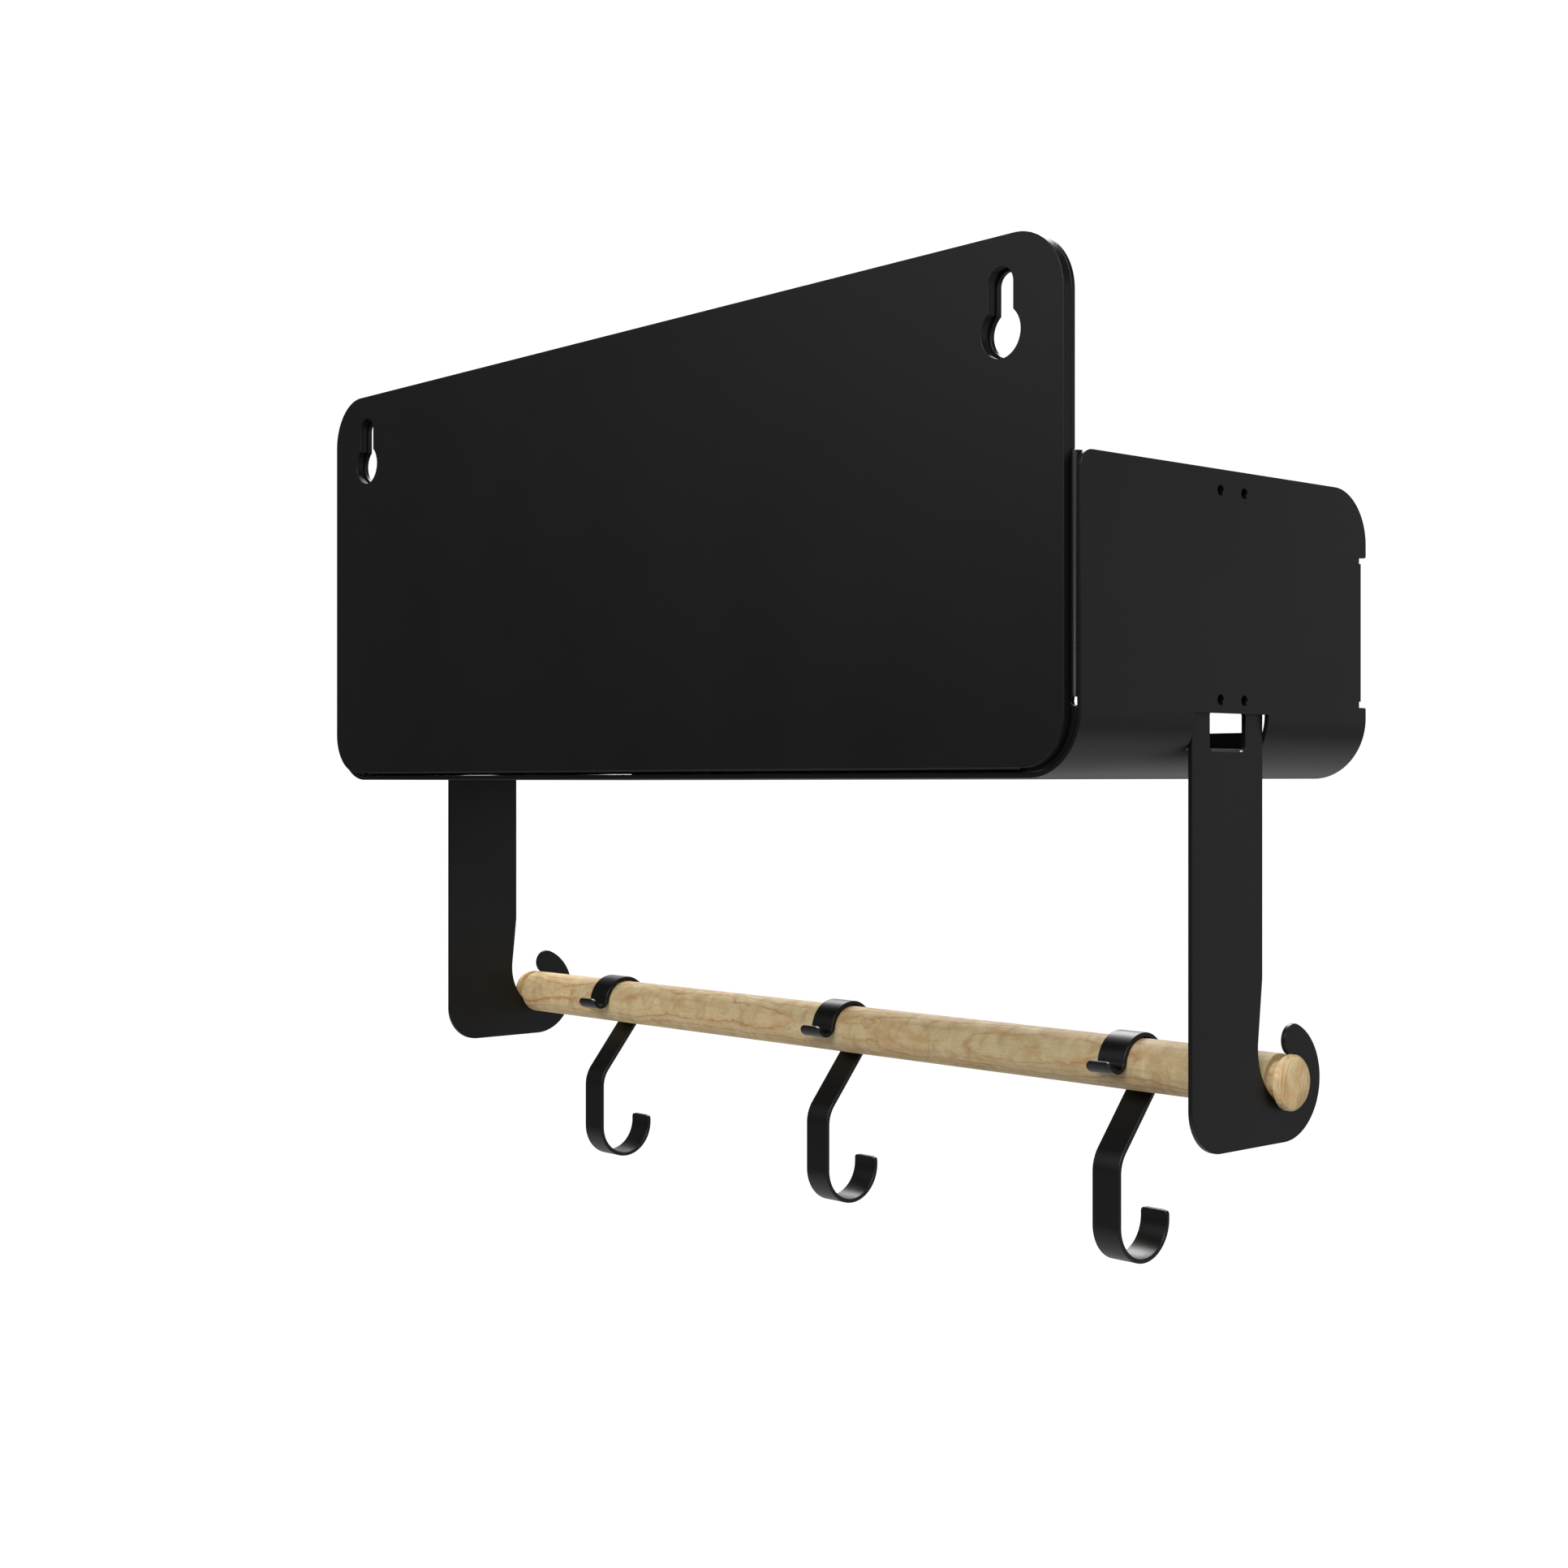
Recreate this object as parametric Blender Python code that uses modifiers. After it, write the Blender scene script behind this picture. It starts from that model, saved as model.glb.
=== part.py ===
"""Wall shelf box of folded sheet steel with a wooden hook rail under it.

The pieces are laid out with the origin on the wall, midway across the shelf
and level with the underside of the box. X runs along the shelf, +Y points into
the wall, so the front of the shelf faces -Y, and +Z is up. "Forward" below
means the distance from the wall, which is -Y. At the end everything is lowered
so that the origin lies midway between the two screws the shelf hangs on. All
sizes are in metres.

The two folded sheets are drawn flat, scored along their bends and folded, as
the real ones are cut and bent.
"""

import math

import bmesh
import bpy
from mathutils import Matrix, Vector

# ---- driving sizes ---------------------------------------------------------
BOX_WIDTH = 0.517            # outside, across the two side panels
BOX_FRONT = 0.1837           # wall to the front edge of the side panels
SIDE_HEIGHT = 0.1184         # underside of the box to the top of the sides
PANEL_HEIGHT = 0.200         # underside of the box to the top of the back
ROD_DROP = 0.1205            # underside of the box down to the rod's axis
ROD_FORWARD = 0.1304         # wall to the rod's axis

# ---- sheet metal -----------------------------------------------------------
SHEET = 0.002                # thickness of every folded or cut sheet
PLATE_THICKNESS = 0.004      # thickness of the backing plate
GAP = 0.0003                 # paint and assembly gap between touching pieces
BEND_RADIUS = 0.025          # outside radius of the two lower corners
TIGHT_RADIUS = 0.0025        # outside radius of flange, tab and lip bends
RELIEF_RADIUS = 0.0017       # round relief at the end of a flange bend
RELIEF_OFFSET = 0.0008       # from the folded outline in to the relief's centre

# ---- box sheet -------------------------------------------------------------
SIDE_FRONT_RADIUS = 0.022    # top front corner of a side panel
SIDE_BACK_RADIUS = 0.006     # top back corner of a side panel
EAR_LOW_TOP = 0.0292         # height at which the lower front ear ends
EAR_HIGH_BOTTOM = 0.0909     # height at which the upper front ear starts
EAR_CORNER = 0.0008          # rounding of the ears' free corners
TAB_SETBACK = 0.002          # front face of tabs and lip behind the ears
TAB_RELIEF = 0.0025          # slot between a tab or lip and its ear
TAB_RELIEF_DEPTH = 0.0003    # how far that slot goes past the bend line
TAB_WIDTH = 0.020            # how far a tab reaches in from the side
LIP_HEIGHT = 0.020           # top of the low front lip
LIP_INSET = 0.003            # end of the lip to the start of the big bend

# ---- back panel and backing plate ------------------------------------------
PLATE_SIDE_INSET = 0.0045    # backing plate in from the box's side
PLATE_BOTTOM_INSET = 0.0038  # backing plate up from the box's underside
PLATE_TOP_RADIUS = 0.024
PLATE_BOTTOM_RADIUS = 0.020
FLANGE_DEPTH = 0.015         # back panel's flanges, from its rear face
FLANGE_TOP_DROP = 0.0004     # flange ends this far under the side's top
SIDE_RELIEF_HEIGHT = 0.0277  # centre of the relief under a side flange
BOTTOM_RELIEF_INSET = 0.0277  # centre of the relief beside the bottom flange

# ---- keyholes --------------------------------------------------------------
KEYHOLE_INSET = 0.0306       # keyhole's centre line in from the plate's edge
KEYHOLE_SLOT_DROP = 0.0177   # top of the panel down to the slot's end centre
KEYHOLE_TRAVEL = 0.0179      # slot's end centre down to the entry's centre
KEYHOLE_ENTRY_RADIUS = 0.0088  # in the back panel
KEYHOLE_SLOT_WIDTH = 0.0103  # in the back panel
KEYHOLE_MARGIN = 0.001       # the backing plate's keyhole is this much larger

# ---- hanger plates ---------------------------------------------------------
HANGER_WIDTH = 0.0445
HANGER_TO_ROD = 0.0147       # front edge of the hanger back from the rod axis
HANGER_TOP_DROP = 0.0034     # hanger's top edge under the side's top
HANGER_TOP_RADIUS = 0.004
HANGER_HEEL_RADIUS = 0.018   # lower rear corner
TAPER_TOP_RISE = 0.042       # rod axis up to where the front edge tapers
NECK_TO_ROD = 0.0175         # rod axis back to the neck of the hook
NECK_RADIUS = 0.0253         # curve from the neck down into the seat
ARM_RADIUS = 0.024           # outside of the hook round the rod's axis
TIP_RADIUS = 0.0065          # round end of the hook
TIP_ANGLE = 68.0             # degrees up from straight forward
SLOT_CLEARANCE = 0.00075     # side slot longer than the hanger, each end
SLOT_EDGE_CLEARANCE = 0.0004  # slot's lower edge clear of the hanger's face
WINDOW_WIDTH = 0.0224
WINDOW_HEIGHT = 0.0155
WINDOW_RADIUS = 0.0018

# ---- holes in the side panels for the plug welds that hold the hangers ------
WELD_HOLE_RADIUS = 0.002
WELD_HOLE_PITCH = 0.015      # between the two holes of a pair
WELD_HOLE_LOW = 0.0301       # height of the lower pair
WELD_HOLE_TOP_DROP = 0.0081  # upper pair under the side's top

# ---- rod -------------------------------------------------------------------
ROD_RADIUS = 0.0112
GROOVE_RADIUS = 0.0086
SEAT_CLEARANCE = 0.0003      # seat of the hanger round the groove
GROOVE_CLEARANCE = 0.0005    # inner wall of the groove to the hanger
GROOVE_WIDTH = 0.0044
ROD_END = 0.003              # disc outside the groove
ROD_CHAMFER = 0.001

# ---- strip hooks -----------------------------------------------------------
HOOK_WIDTH = 0.0144
HOOK_STRIP = 0.002
HOOK_CLEARANCE = 0.0005      # clip's inside round the rod
HOOK_SPACING = 0.1785
CLIP_START = 8.0             # degrees above level where the lip curls away
CLIP_END = 219.3             # degrees, where the shank leaves the clip
LIP_CURL_RADIUS = 0.0042     # middle of the strip
LIP_CURL_SWEEP = 176.0
CROOK_DROP = 0.0668          # rod axis down to the crook's centre
CROOK_RADIUS = 0.016         # middle of the strip
CROOK_TIP = 0.0034           # straight end of the crook
KNEE_RADIUS = 0.015          # middle of the strip
LIP_CORNER = 0.0036          # rounded corners of the lip's edge
CROOK_CORNER = 0.002         # rounded corners of the crook's edge

# ---- fineness of curves ----------------------------------------------------
BIG_BEND_STEPS = 12
TIGHT_BEND_STEPS = 4
CORNER_STEP = 9.0            # degrees between points of a large corner
SMALL_STEP = 18.0            # degrees between points of a small corner
HOLE_STEPS = 20
ROD_STEPS = 48

# ---- places worked out from the sizes --------------------------------------
SHELL_BACK = PLATE_THICKNESS + GAP                    # forward of the wall
FLOOR_HALF = BOX_WIDTH / 2 - BEND_RADIUS              # flat part of the floor
BEND_LENGTH = BEND_RADIUS * math.pi / 2
TIGHT_LENGTH = TIGHT_RADIUS * math.pi / 2
TAB_LINE = BOX_FRONT - TAB_SETBACK - TIGHT_RADIUS     # where the front bends start
NEST_HALF = BOX_WIDTH / 2 - SHEET - GAP               # back panel inside the box
NEST_BOTTOM = SHEET + GAP
PLATE_HALF = BOX_WIDTH / 2 - PLATE_SIDE_INSET
HANGER_FRONT = ROD_FORWARD - HANGER_TO_ROD
HANGER_MIDDLE = HANGER_FRONT - HANGER_WIDTH / 2
HANGER_OUTER = BOX_WIDTH / 2 - SHEET - GAP            # outer face, from the centre
SEAT_RADIUS = GROOVE_RADIUS + SEAT_CLEARANCE
SLOT_BITE = SHEET + GAP + SHEET + SLOT_EDGE_CLEARANCE  # slot's depth from the side
SLOT_ANGLE = math.acos(1 - SLOT_BITE / BEND_RADIUS)
SLOT_BOTTOM = BEND_RADIUS * (1 - math.sin(SLOT_ANGLE))
WELD_HOLE_HEIGHTS = (WELD_HOLE_LOW, SIDE_HEIGHT - WELD_HOLE_TOP_DROP)
WELD_HOLE_PLACES = (HANGER_MIDDLE - WELD_HOLE_PITCH / 2,
                    HANGER_MIDDLE + WELD_HOLE_PITCH / 2)
CLIP_RADIUS = ROD_RADIUS + HOOK_CLEARANCE + HOOK_STRIP / 2

# Axes of a drawing laid flat: its x, its y and its thickness.
FROM_FRONT = Matrix(((1, 0, 0), (0, 0, -1), (0, 1, 0))).to_4x4()
FROM_SIDE = Matrix(((0, 0, -1), (-1, 0, 0), (0, 1, 0))).to_4x4()


# ---- scene set-up ----------------------------------------------------------
def clear_scene():
    for item in list(bpy.data.objects):
        bpy.data.objects.remove(item, do_unlink=True)


def new_collection(name):
    collection = bpy.data.collections.new(name)
    bpy.context.scene.collection.children.link(collection)
    return collection


def new_material(name, color, roughness, metallic):
    material = bpy.data.materials.new(name)
    material.use_nodes = True
    shader = material.node_tree.nodes["Principled BSDF"]
    shader.inputs["Base Color"].default_value = (*color, 1.0)
    shader.inputs["Roughness"].default_value = roughness
    shader.inputs["Metallic"].default_value = metallic
    material.diffuse_color = (*color, 1.0)
    return material


def new_object(name, mesh, collection, material):
    item = bpy.data.objects.new(name, mesh)
    collection.objects.link(item)
    mesh.materials.clear()
    mesh.materials.append(material)
    return item


def shade(mesh, angle=30.0):
    mesh.shade_smooth()
    mesh.set_sharp_from_angle(angle=math.radians(angle))


# ---- outlines --------------------------------------------------------------
def arc(centre, radius, start, end, step=CORNER_STEP):
    """Points from start to end, in degrees, both included."""
    count = max(2, math.ceil(abs(end - start) / step))
    points = []
    for index in range(count + 1):
        angle = math.radians(start + (end - start) * index / count)
        points.append((centre[0] + radius * math.cos(angle),
                       centre[1] + radius * math.sin(angle)))
    return points


def circle(centre, radius):
    return arc(centre, radius, 0.0, 360.0, 360.0 / HOLE_STEPS)[:-1]


def rounded_box(low, high, radius):
    x0, y0 = low
    x1, y1 = high
    return (arc((x1 - radius, y0 + radius), radius, -90, 0, SMALL_STEP)
            + arc((x1 - radius, y1 - radius), radius, 0, 90, SMALL_STEP)
            + arc((x0 + radius, y1 - radius), radius, 90, 180, SMALL_STEP)
            + arc((x0 + radius, y0 + radius), radius, 180, 270, SMALL_STEP))


def keyhole(centre_x, margin):
    """Round entry below, slot with a round end above."""
    entry_radius = KEYHOLE_ENTRY_RADIUS + margin
    half_slot = KEYHOLE_SLOT_WIDTH / 2 + margin
    slot_end = PANEL_HEIGHT - KEYHOLE_SLOT_DROP
    entry = slot_end - KEYHOLE_TRAVEL
    mouth = math.degrees(math.asin(half_slot / entry_radius))
    return (arc((centre_x, entry), entry_radius, 90 + mouth, 450 - mouth, 12.0)
            + arc((centre_x, slot_end), half_slot, 0, 180, 15.0))


def keyholes(margin):
    centre_x = PLATE_HALF - KEYHOLE_INSET
    return [keyhole(side * centre_x, margin) for side in (-1, 1)]


def mirrored(points):
    """The points, then their mirror images in reverse order."""
    return points + [(-x, y) for x, y in reversed(points)]


def tangent_angle(centre, radius, point):
    """Angle on a circle, in degrees, where a line from the point touches it.

    Of the two such places it is the one reached first when the circle is
    run clockwise from below.
    """
    offset = Vector(point) - Vector(centre)
    spread = math.acos(radius / offset.length)
    return math.degrees(math.atan2(offset.y, offset.x) + spread)


# ---- from outline to mesh --------------------------------------------------
def fill(outlines, thickness):
    """Solid mesh of a flat drawing, centred on z = 0."""
    curve = bpy.data.curves.new("drawing", "CURVE")
    curve.dimensions = "2D"
    curve.fill_mode = "BOTH"
    curve.extrude = thickness / 2
    for outline in outlines:
        spline = curve.splines.new("POLY")
        spline.points.add(len(outline) - 1)
        for point, (x, y) in zip(spline.points, outline):
            point.co = (x, y, 0.0, 1.0)
        spline.use_cyclic_u = True
    drawing = bpy.data.objects.new("drawing", curve)
    bpy.context.scene.collection.objects.link(drawing)
    bpy.context.view_layer.update()
    evaluated = drawing.evaluated_get(bpy.context.evaluated_depsgraph_get())
    mesh = bpy.data.meshes.new_from_object(evaluated)
    bpy.data.objects.remove(drawing, do_unlink=True)
    weld(mesh)
    return mesh


def weld(mesh):
    work = bmesh.new()
    work.from_mesh(mesh)
    bmesh.ops.remove_doubles(work, verts=work.verts, dist=1e-6)
    work.to_mesh(mesh)
    work.free()


def cut_plate(name, outlines, thickness, view, position, collection, material):
    """A flat plate seen in the given view, its middle at the given position."""
    mesh = fill(outlines, thickness)
    plate = new_object(name, mesh, collection, material)
    plate.matrix_world = Matrix.Translation(position) @ view
    shade(mesh)
    return plate


def folded_sheet(name, outlines, score_lines, fold, collection, material):
    """Draw the sheet flat, score it along the bends and fold it.

    The fold takes a point of the flat sheet and its depth below the face that
    ends up on the outside of the bends.
    """
    mesh = fill(outlines, SHEET)
    work = bmesh.new()
    work.from_mesh(mesh)
    for normal, distance in score_lines:
        everything = work.verts[:] + work.edges[:] + work.faces[:]
        bmesh.ops.bisect_plane(work, geom=everything, dist=1e-7,
                               plane_co=Vector(normal) * distance, plane_no=normal)
    for vertex in work.verts:
        vertex.co = fold(vertex.co.x, vertex.co.y, SHEET / 2 - vertex.co.z)
    work.to_mesh(mesh)
    work.free()
    shade(mesh)
    return new_object(name, mesh, collection, material)


def bent(distance, radius, depth):
    """Where a point goes when a sheet is bent through a right angle.

    Distance is measured along the outer face from the start of the bend. The
    result is (straight on, turned), both from the outer face at that start.
    """
    length = radius * math.pi / 2
    if distance <= 0:
        return distance, depth
    if distance < length:
        angle = distance / radius
        inner = radius - depth
        return inner * math.sin(angle), radius - inner * math.cos(angle)
    return radius - depth, radius + distance - length


def bend_lines(normal, start, radius, steps):
    """Score lines across one bend, from its start."""
    length = radius * math.pi / 2
    return [(normal, start + length * index / steps) for index in range(steps + 1)]


# ---- box sheet: floor, two sides, front tabs and lip -----------------------
def up_side(height):
    """Distance along the sheet's section, from the middle of the floor."""
    return FLOOR_HALF + BEND_LENGTH + height - BEND_RADIUS


def fold_box(along, forward, depth):
    straight, risen = bent(abs(along) - FLOOR_HALF, BEND_RADIUS, depth)
    x = FLOOR_HALF + straight
    z = risen
    low = up_side(EAR_LOW_TOP + TAB_RELIEF / 2)
    high = up_side(EAR_HIGH_BOTTOM - TAB_RELIEF / 2)
    past, turned = bent(forward - TAB_LINE, TIGHT_RADIUS, depth)
    if forward > TAB_LINE and low < abs(along) < high:
        forward = TAB_LINE + past
        x = BOX_WIDTH / 2 - turned
    if forward > TAB_LINE and abs(along) < FLOOR_HALF - LIP_INSET + TAB_RELIEF / 2:
        forward = TAB_LINE + past
        z = turned
    return Vector((math.copysign(x, along), -forward, z))


def box_outline():
    """Half of the flat sheet, from the middle of its front lip to the back."""
    lip_end = FLOOR_HALF - LIP_INSET
    lip_edge = TAB_LINE + TIGHT_LENGTH + LIP_HEIGHT - TIGHT_RADIUS
    tab_edge = TAB_LINE + TIGHT_LENGTH + TAB_WIDTH - TIGHT_RADIUS
    relief = TAB_LINE - TAB_RELIEF_DEPTH
    tab_low = up_side(EAR_LOW_TOP + TAB_RELIEF)
    tab_high = up_side(EAR_HIGH_BOTTOM - TAB_RELIEF)
    top = up_side(SIDE_HEIGHT)
    corner = EAR_CORNER
    outline = arc((lip_end - corner, lip_edge - corner), corner, 90, 0, 45.0)
    outline += [(lip_end, relief), (lip_end + TAB_RELIEF, relief)]
    outline += [(lip_end + TAB_RELIEF, BOX_FRONT)]
    outline += arc((up_side(EAR_LOW_TOP) - corner, BOX_FRONT - corner), corner, 90, 0, 45.0)
    outline += [(up_side(EAR_LOW_TOP), relief), (tab_low, relief)]
    outline += arc((tab_low + corner, tab_edge - corner), corner, 180, 90, 45.0)
    outline += arc((tab_high - corner, tab_edge - corner), corner, 90, 0, 45.0)
    outline += [(tab_high, relief), (up_side(EAR_HIGH_BOTTOM), relief)]
    outline += arc((up_side(EAR_HIGH_BOTTOM) + corner, BOX_FRONT - corner), corner, 180, 90, 45.0)
    outline += arc((top - SIDE_FRONT_RADIUS, BOX_FRONT - SIDE_FRONT_RADIUS),
                   SIDE_FRONT_RADIUS, 90, 0)
    outline += arc((top - SIDE_BACK_RADIUS, SHELL_BACK + SIDE_BACK_RADIUS),
                   SIDE_BACK_RADIUS, 0, -90, SMALL_STEP)
    return outline


def box_holes():
    """Weld holes and hanger slots of both sides, on the flat sheet."""
    holes = []
    slot_low = FLOOR_HALF + BEND_RADIUS * (math.pi / 2 - SLOT_ANGLE)
    slot_high = FLOOR_HALF + BEND_LENGTH
    half_slot = HANGER_WIDTH / 2 + SLOT_CLEARANCE
    for side in (-1, 1):
        ends = sorted((side * slot_low, side * slot_high))
        holes.append([(ends[0], HANGER_MIDDLE - half_slot), (ends[1], HANGER_MIDDLE - half_slot),
                      (ends[1], HANGER_MIDDLE + half_slot), (ends[0], HANGER_MIDDLE + half_slot)])
        for height in WELD_HOLE_HEIGHTS:
            for forward in WELD_HOLE_PLACES:
                holes.append(circle((side * up_side(height), forward), WELD_HOLE_RADIUS))
    return holes


def make_box_sheet(collection, material):
    lines = bend_lines((1, 0, 0), FLOOR_HALF, BEND_RADIUS, BIG_BEND_STEPS)
    lines += bend_lines((-1, 0, 0), FLOOR_HALF, BEND_RADIUS, BIG_BEND_STEPS)
    lines += bend_lines((0, 1, 0), TAB_LINE, TIGHT_RADIUS, TIGHT_BEND_STEPS)
    outlines = [mirrored(box_outline())] + box_holes()
    return folded_sheet("box_sheet", outlines, lines, fold_box, collection, material)


# ---- back panel: nests in the box sheet, with three flanges ----------------
def fold_back(across, height, depth):
    x = abs(across)
    forward = SHELL_BACK + depth
    z = height
    beyond_side = x - NEST_HALF + TIGHT_RADIUS
    beyond_bottom = NEST_BOTTOM + TIGHT_RADIUS - height
    if beyond_side > 0 and SIDE_RELIEF_HEIGHT < height < SIDE_HEIGHT - FLANGE_TOP_DROP / 2:
        run, turned = bent(beyond_side, TIGHT_RADIUS, depth)
        x = NEST_HALF - TIGHT_RADIUS + run
        forward = SHELL_BACK + turned
    if beyond_bottom > 0 and x < BOX_WIDTH / 2 - BOTTOM_RELIEF_INSET:
        run, turned = bent(beyond_bottom, TIGHT_RADIUS, depth)
        z = NEST_BOTTOM + TIGHT_RADIUS - run
        forward = SHELL_BACK + turned
    return Vector((-math.copysign(x, across), -forward, z))


def back_outline():
    """Half of the flat panel, from the bottom flange up to the top edge."""
    reach = TIGHT_LENGTH + FLANGE_DEPTH - TIGHT_RADIUS - TIGHT_RADIUS
    side_edge = NEST_HALF + reach
    bottom_edge = NEST_BOTTOM - reach
    relief_x = BOX_WIDTH / 2 - BOTTOM_RELIEF_INSET
    half_angle = math.degrees(math.acos(RELIEF_OFFSET / RELIEF_RADIUS))
    bite = math.sqrt(RELIEF_RADIUS ** 2 - RELIEF_OFFSET ** 2)
    flange_top = SIDE_HEIGHT - FLANGE_TOP_DROP
    corner_radius = BEND_RADIUS - SHEET - GAP
    outline = [(relief_x - bite, bottom_edge)]
    outline += arc((relief_x, NEST_BOTTOM + RELIEF_OFFSET), RELIEF_RADIUS,
                   270 - half_angle, -90 + half_angle, SMALL_STEP)
    outline += arc((FLOOR_HALF, BEND_RADIUS), corner_radius, -90, 0)
    outline += arc((NEST_HALF - RELIEF_OFFSET, SIDE_RELIEF_HEIGHT), RELIEF_RADIUS,
                   360 - half_angle, half_angle, SMALL_STEP)
    outline += [(side_edge, SIDE_RELIEF_HEIGHT + bite), (side_edge, flange_top)]
    outline += [(NEST_HALF - TIGHT_RADIUS, flange_top)]
    outline += [(NEST_HALF - TIGHT_RADIUS, SIDE_HEIGHT), (PLATE_HALF, SIDE_HEIGHT)]
    outline += arc((PLATE_HALF - PLATE_TOP_RADIUS, PANEL_HEIGHT - PLATE_TOP_RADIUS),
                   PLATE_TOP_RADIUS, 0, 90)
    return outline


def make_back_panel(collection, material):
    bend_x = NEST_HALF - TIGHT_RADIUS
    bend_z = NEST_BOTTOM + TIGHT_RADIUS
    lines = bend_lines((1, 0, 0), bend_x, TIGHT_RADIUS, TIGHT_BEND_STEPS)
    lines += bend_lines((-1, 0, 0), bend_x, TIGHT_RADIUS, TIGHT_BEND_STEPS)
    lines += bend_lines((0, -1, 0), -bend_z, TIGHT_RADIUS, TIGHT_BEND_STEPS)
    outlines = [mirrored(back_outline())] + keyholes(0.0)
    return folded_sheet("back_panel", outlines, lines, fold_back, collection, material)


def make_backing_plate(collection, material):
    top = arc((PLATE_HALF - PLATE_TOP_RADIUS, PANEL_HEIGHT - PLATE_TOP_RADIUS),
              PLATE_TOP_RADIUS, 0, 90)
    bottom = arc((PLATE_HALF - PLATE_BOTTOM_RADIUS, PLATE_BOTTOM_INSET + PLATE_BOTTOM_RADIUS),
                 PLATE_BOTTOM_RADIUS, -90, 0)
    outlines = [mirrored(bottom + top)] + keyholes(KEYHOLE_MARGIN)
    return cut_plate("backing_plate", outlines, PLATE_THICKNESS, FROM_FRONT,
                     (0.0, -PLATE_THICKNESS / 2, 0.0), collection, material)


# ---- hanger plates ---------------------------------------------------------
def hanger_outline():
    """Outline in (forward, height), with the hook's seat round the rod's axis."""
    rod = (ROD_FORWARD, -ROD_DROP)
    rear = HANGER_FRONT - HANGER_WIDTH
    top = SIDE_HEIGHT - HANGER_TOP_DROP
    bottom = -ROD_DROP - ARM_RADIUS
    tip_reach = ARM_RADIUS - TIP_RADIUS
    tip_x = tip_reach * math.cos(math.radians(TIP_ANGLE))
    tip_z = tip_reach * math.sin(math.radians(TIP_ANGLE))
    # The arm's inner curve leaves the seat straight up and meets the round tip.
    lead = tip_x - SEAT_RADIUS
    inner_radius = (tip_z ** 2 + lead ** 2 - TIP_RADIUS ** 2) / (2 * (TIP_RADIUS - lead))
    inner_x = SEAT_RADIUS - inner_radius
    inner_angle = math.degrees(math.atan2(tip_z, tip_x - inner_x))
    # The neck's curve runs into the seat from behind.
    neck_x = NECK_RADIUS - NECK_TO_ROD
    neck_z = math.sqrt((NECK_RADIUS - SEAT_RADIUS) ** 2 - neck_x ** 2)
    seat_angle = math.degrees(math.atan2(-neck_z, -neck_x))
    neck_centre = (rod[0] + neck_x, rod[1] + neck_z)
    taper_top = (HANGER_FRONT, rod[1] + TAPER_TOP_RISE)
    neck_angle = tangent_angle(neck_centre, NECK_RADIUS, taper_top) - 360.0
    outline = arc((rear + HANGER_HEEL_RADIUS, bottom + HANGER_HEEL_RADIUS),
                  HANGER_HEEL_RADIUS, 180, 270)
    outline += arc(rod, ARM_RADIUS, 270, 360 + TIP_ANGLE)
    outline += arc((rod[0] + tip_x, rod[1] + tip_z), TIP_RADIUS,
                   TIP_ANGLE + SMALL_STEP, inner_angle + 180, SMALL_STEP)
    outline += arc((rod[0] + inner_x, rod[1]), inner_radius, inner_angle, 0)[1:]
    outline += arc(rod, SEAT_RADIUS, 0, seat_angle)[1:]
    outline += arc(neck_centre, NECK_RADIUS, seat_angle, neck_angle)[1:]
    outline += [taper_top]
    outline += arc((HANGER_FRONT - HANGER_TOP_RADIUS, top - HANGER_TOP_RADIUS),
                   HANGER_TOP_RADIUS, 0, 90, SMALL_STEP)
    outline += arc((rear + HANGER_TOP_RADIUS, top - HANGER_TOP_RADIUS),
                   HANGER_TOP_RADIUS, 90, 180, SMALL_STEP)
    return outline


def make_hanger(side_name, side, collection, material):
    window = rounded_box((HANGER_MIDDLE - WINDOW_WIDTH / 2, SLOT_BOTTOM),
                         (HANGER_MIDDLE + WINDOW_WIDTH / 2, SLOT_BOTTOM + WINDOW_HEIGHT),
                         WINDOW_RADIUS)
    middle_x = side * (HANGER_OUTER - SHEET / 2)
    return cut_plate(f"hanger_{side_name}", [hanger_outline(), window], SHEET, FROM_SIDE,
                     (middle_x, 0.0, 0.0), collection, material)


# ---- rod -------------------------------------------------------------------
def make_rod(collection, material):
    """Turned about local Z, which is then laid along X."""
    groove_inner = HANGER_OUTER - SHEET - GROOVE_CLEARANCE
    groove_outer = groove_inner + GROOVE_WIDTH
    end = groove_outer + ROD_END
    half = [(0.0, end), (ROD_RADIUS - ROD_CHAMFER, end), (ROD_RADIUS, end - ROD_CHAMFER),
            (ROD_RADIUS, groove_outer), (GROOVE_RADIUS, groove_outer),
            (GROOVE_RADIUS, groove_inner), (ROD_RADIUS, groove_inner)]
    profile = half + [(radius, -z) for radius, z in reversed(half)]
    mesh = bpy.data.meshes.new("rod")
    work = bmesh.new()
    verts = [work.verts.new((radius, 0.0, z)) for radius, z in profile]
    for first, second in zip(verts, verts[1:]):
        work.edges.new((first, second))
    work.to_mesh(mesh)
    work.free()
    rod = new_object("rod", mesh, collection, material)
    screw = rod.modifiers.new("turn", "SCREW")
    screw.steps = ROD_STEPS
    screw.render_steps = ROD_STEPS
    screw.use_merge_vertices = True
    screw.merge_threshold = 1e-5
    screw.use_smooth_shade = True
    rod.rotation_euler = (0.0, math.pi / 2, 0.0)
    rod.location = (0.0, -ROD_FORWARD, -ROD_DROP)
    return rod


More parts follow.
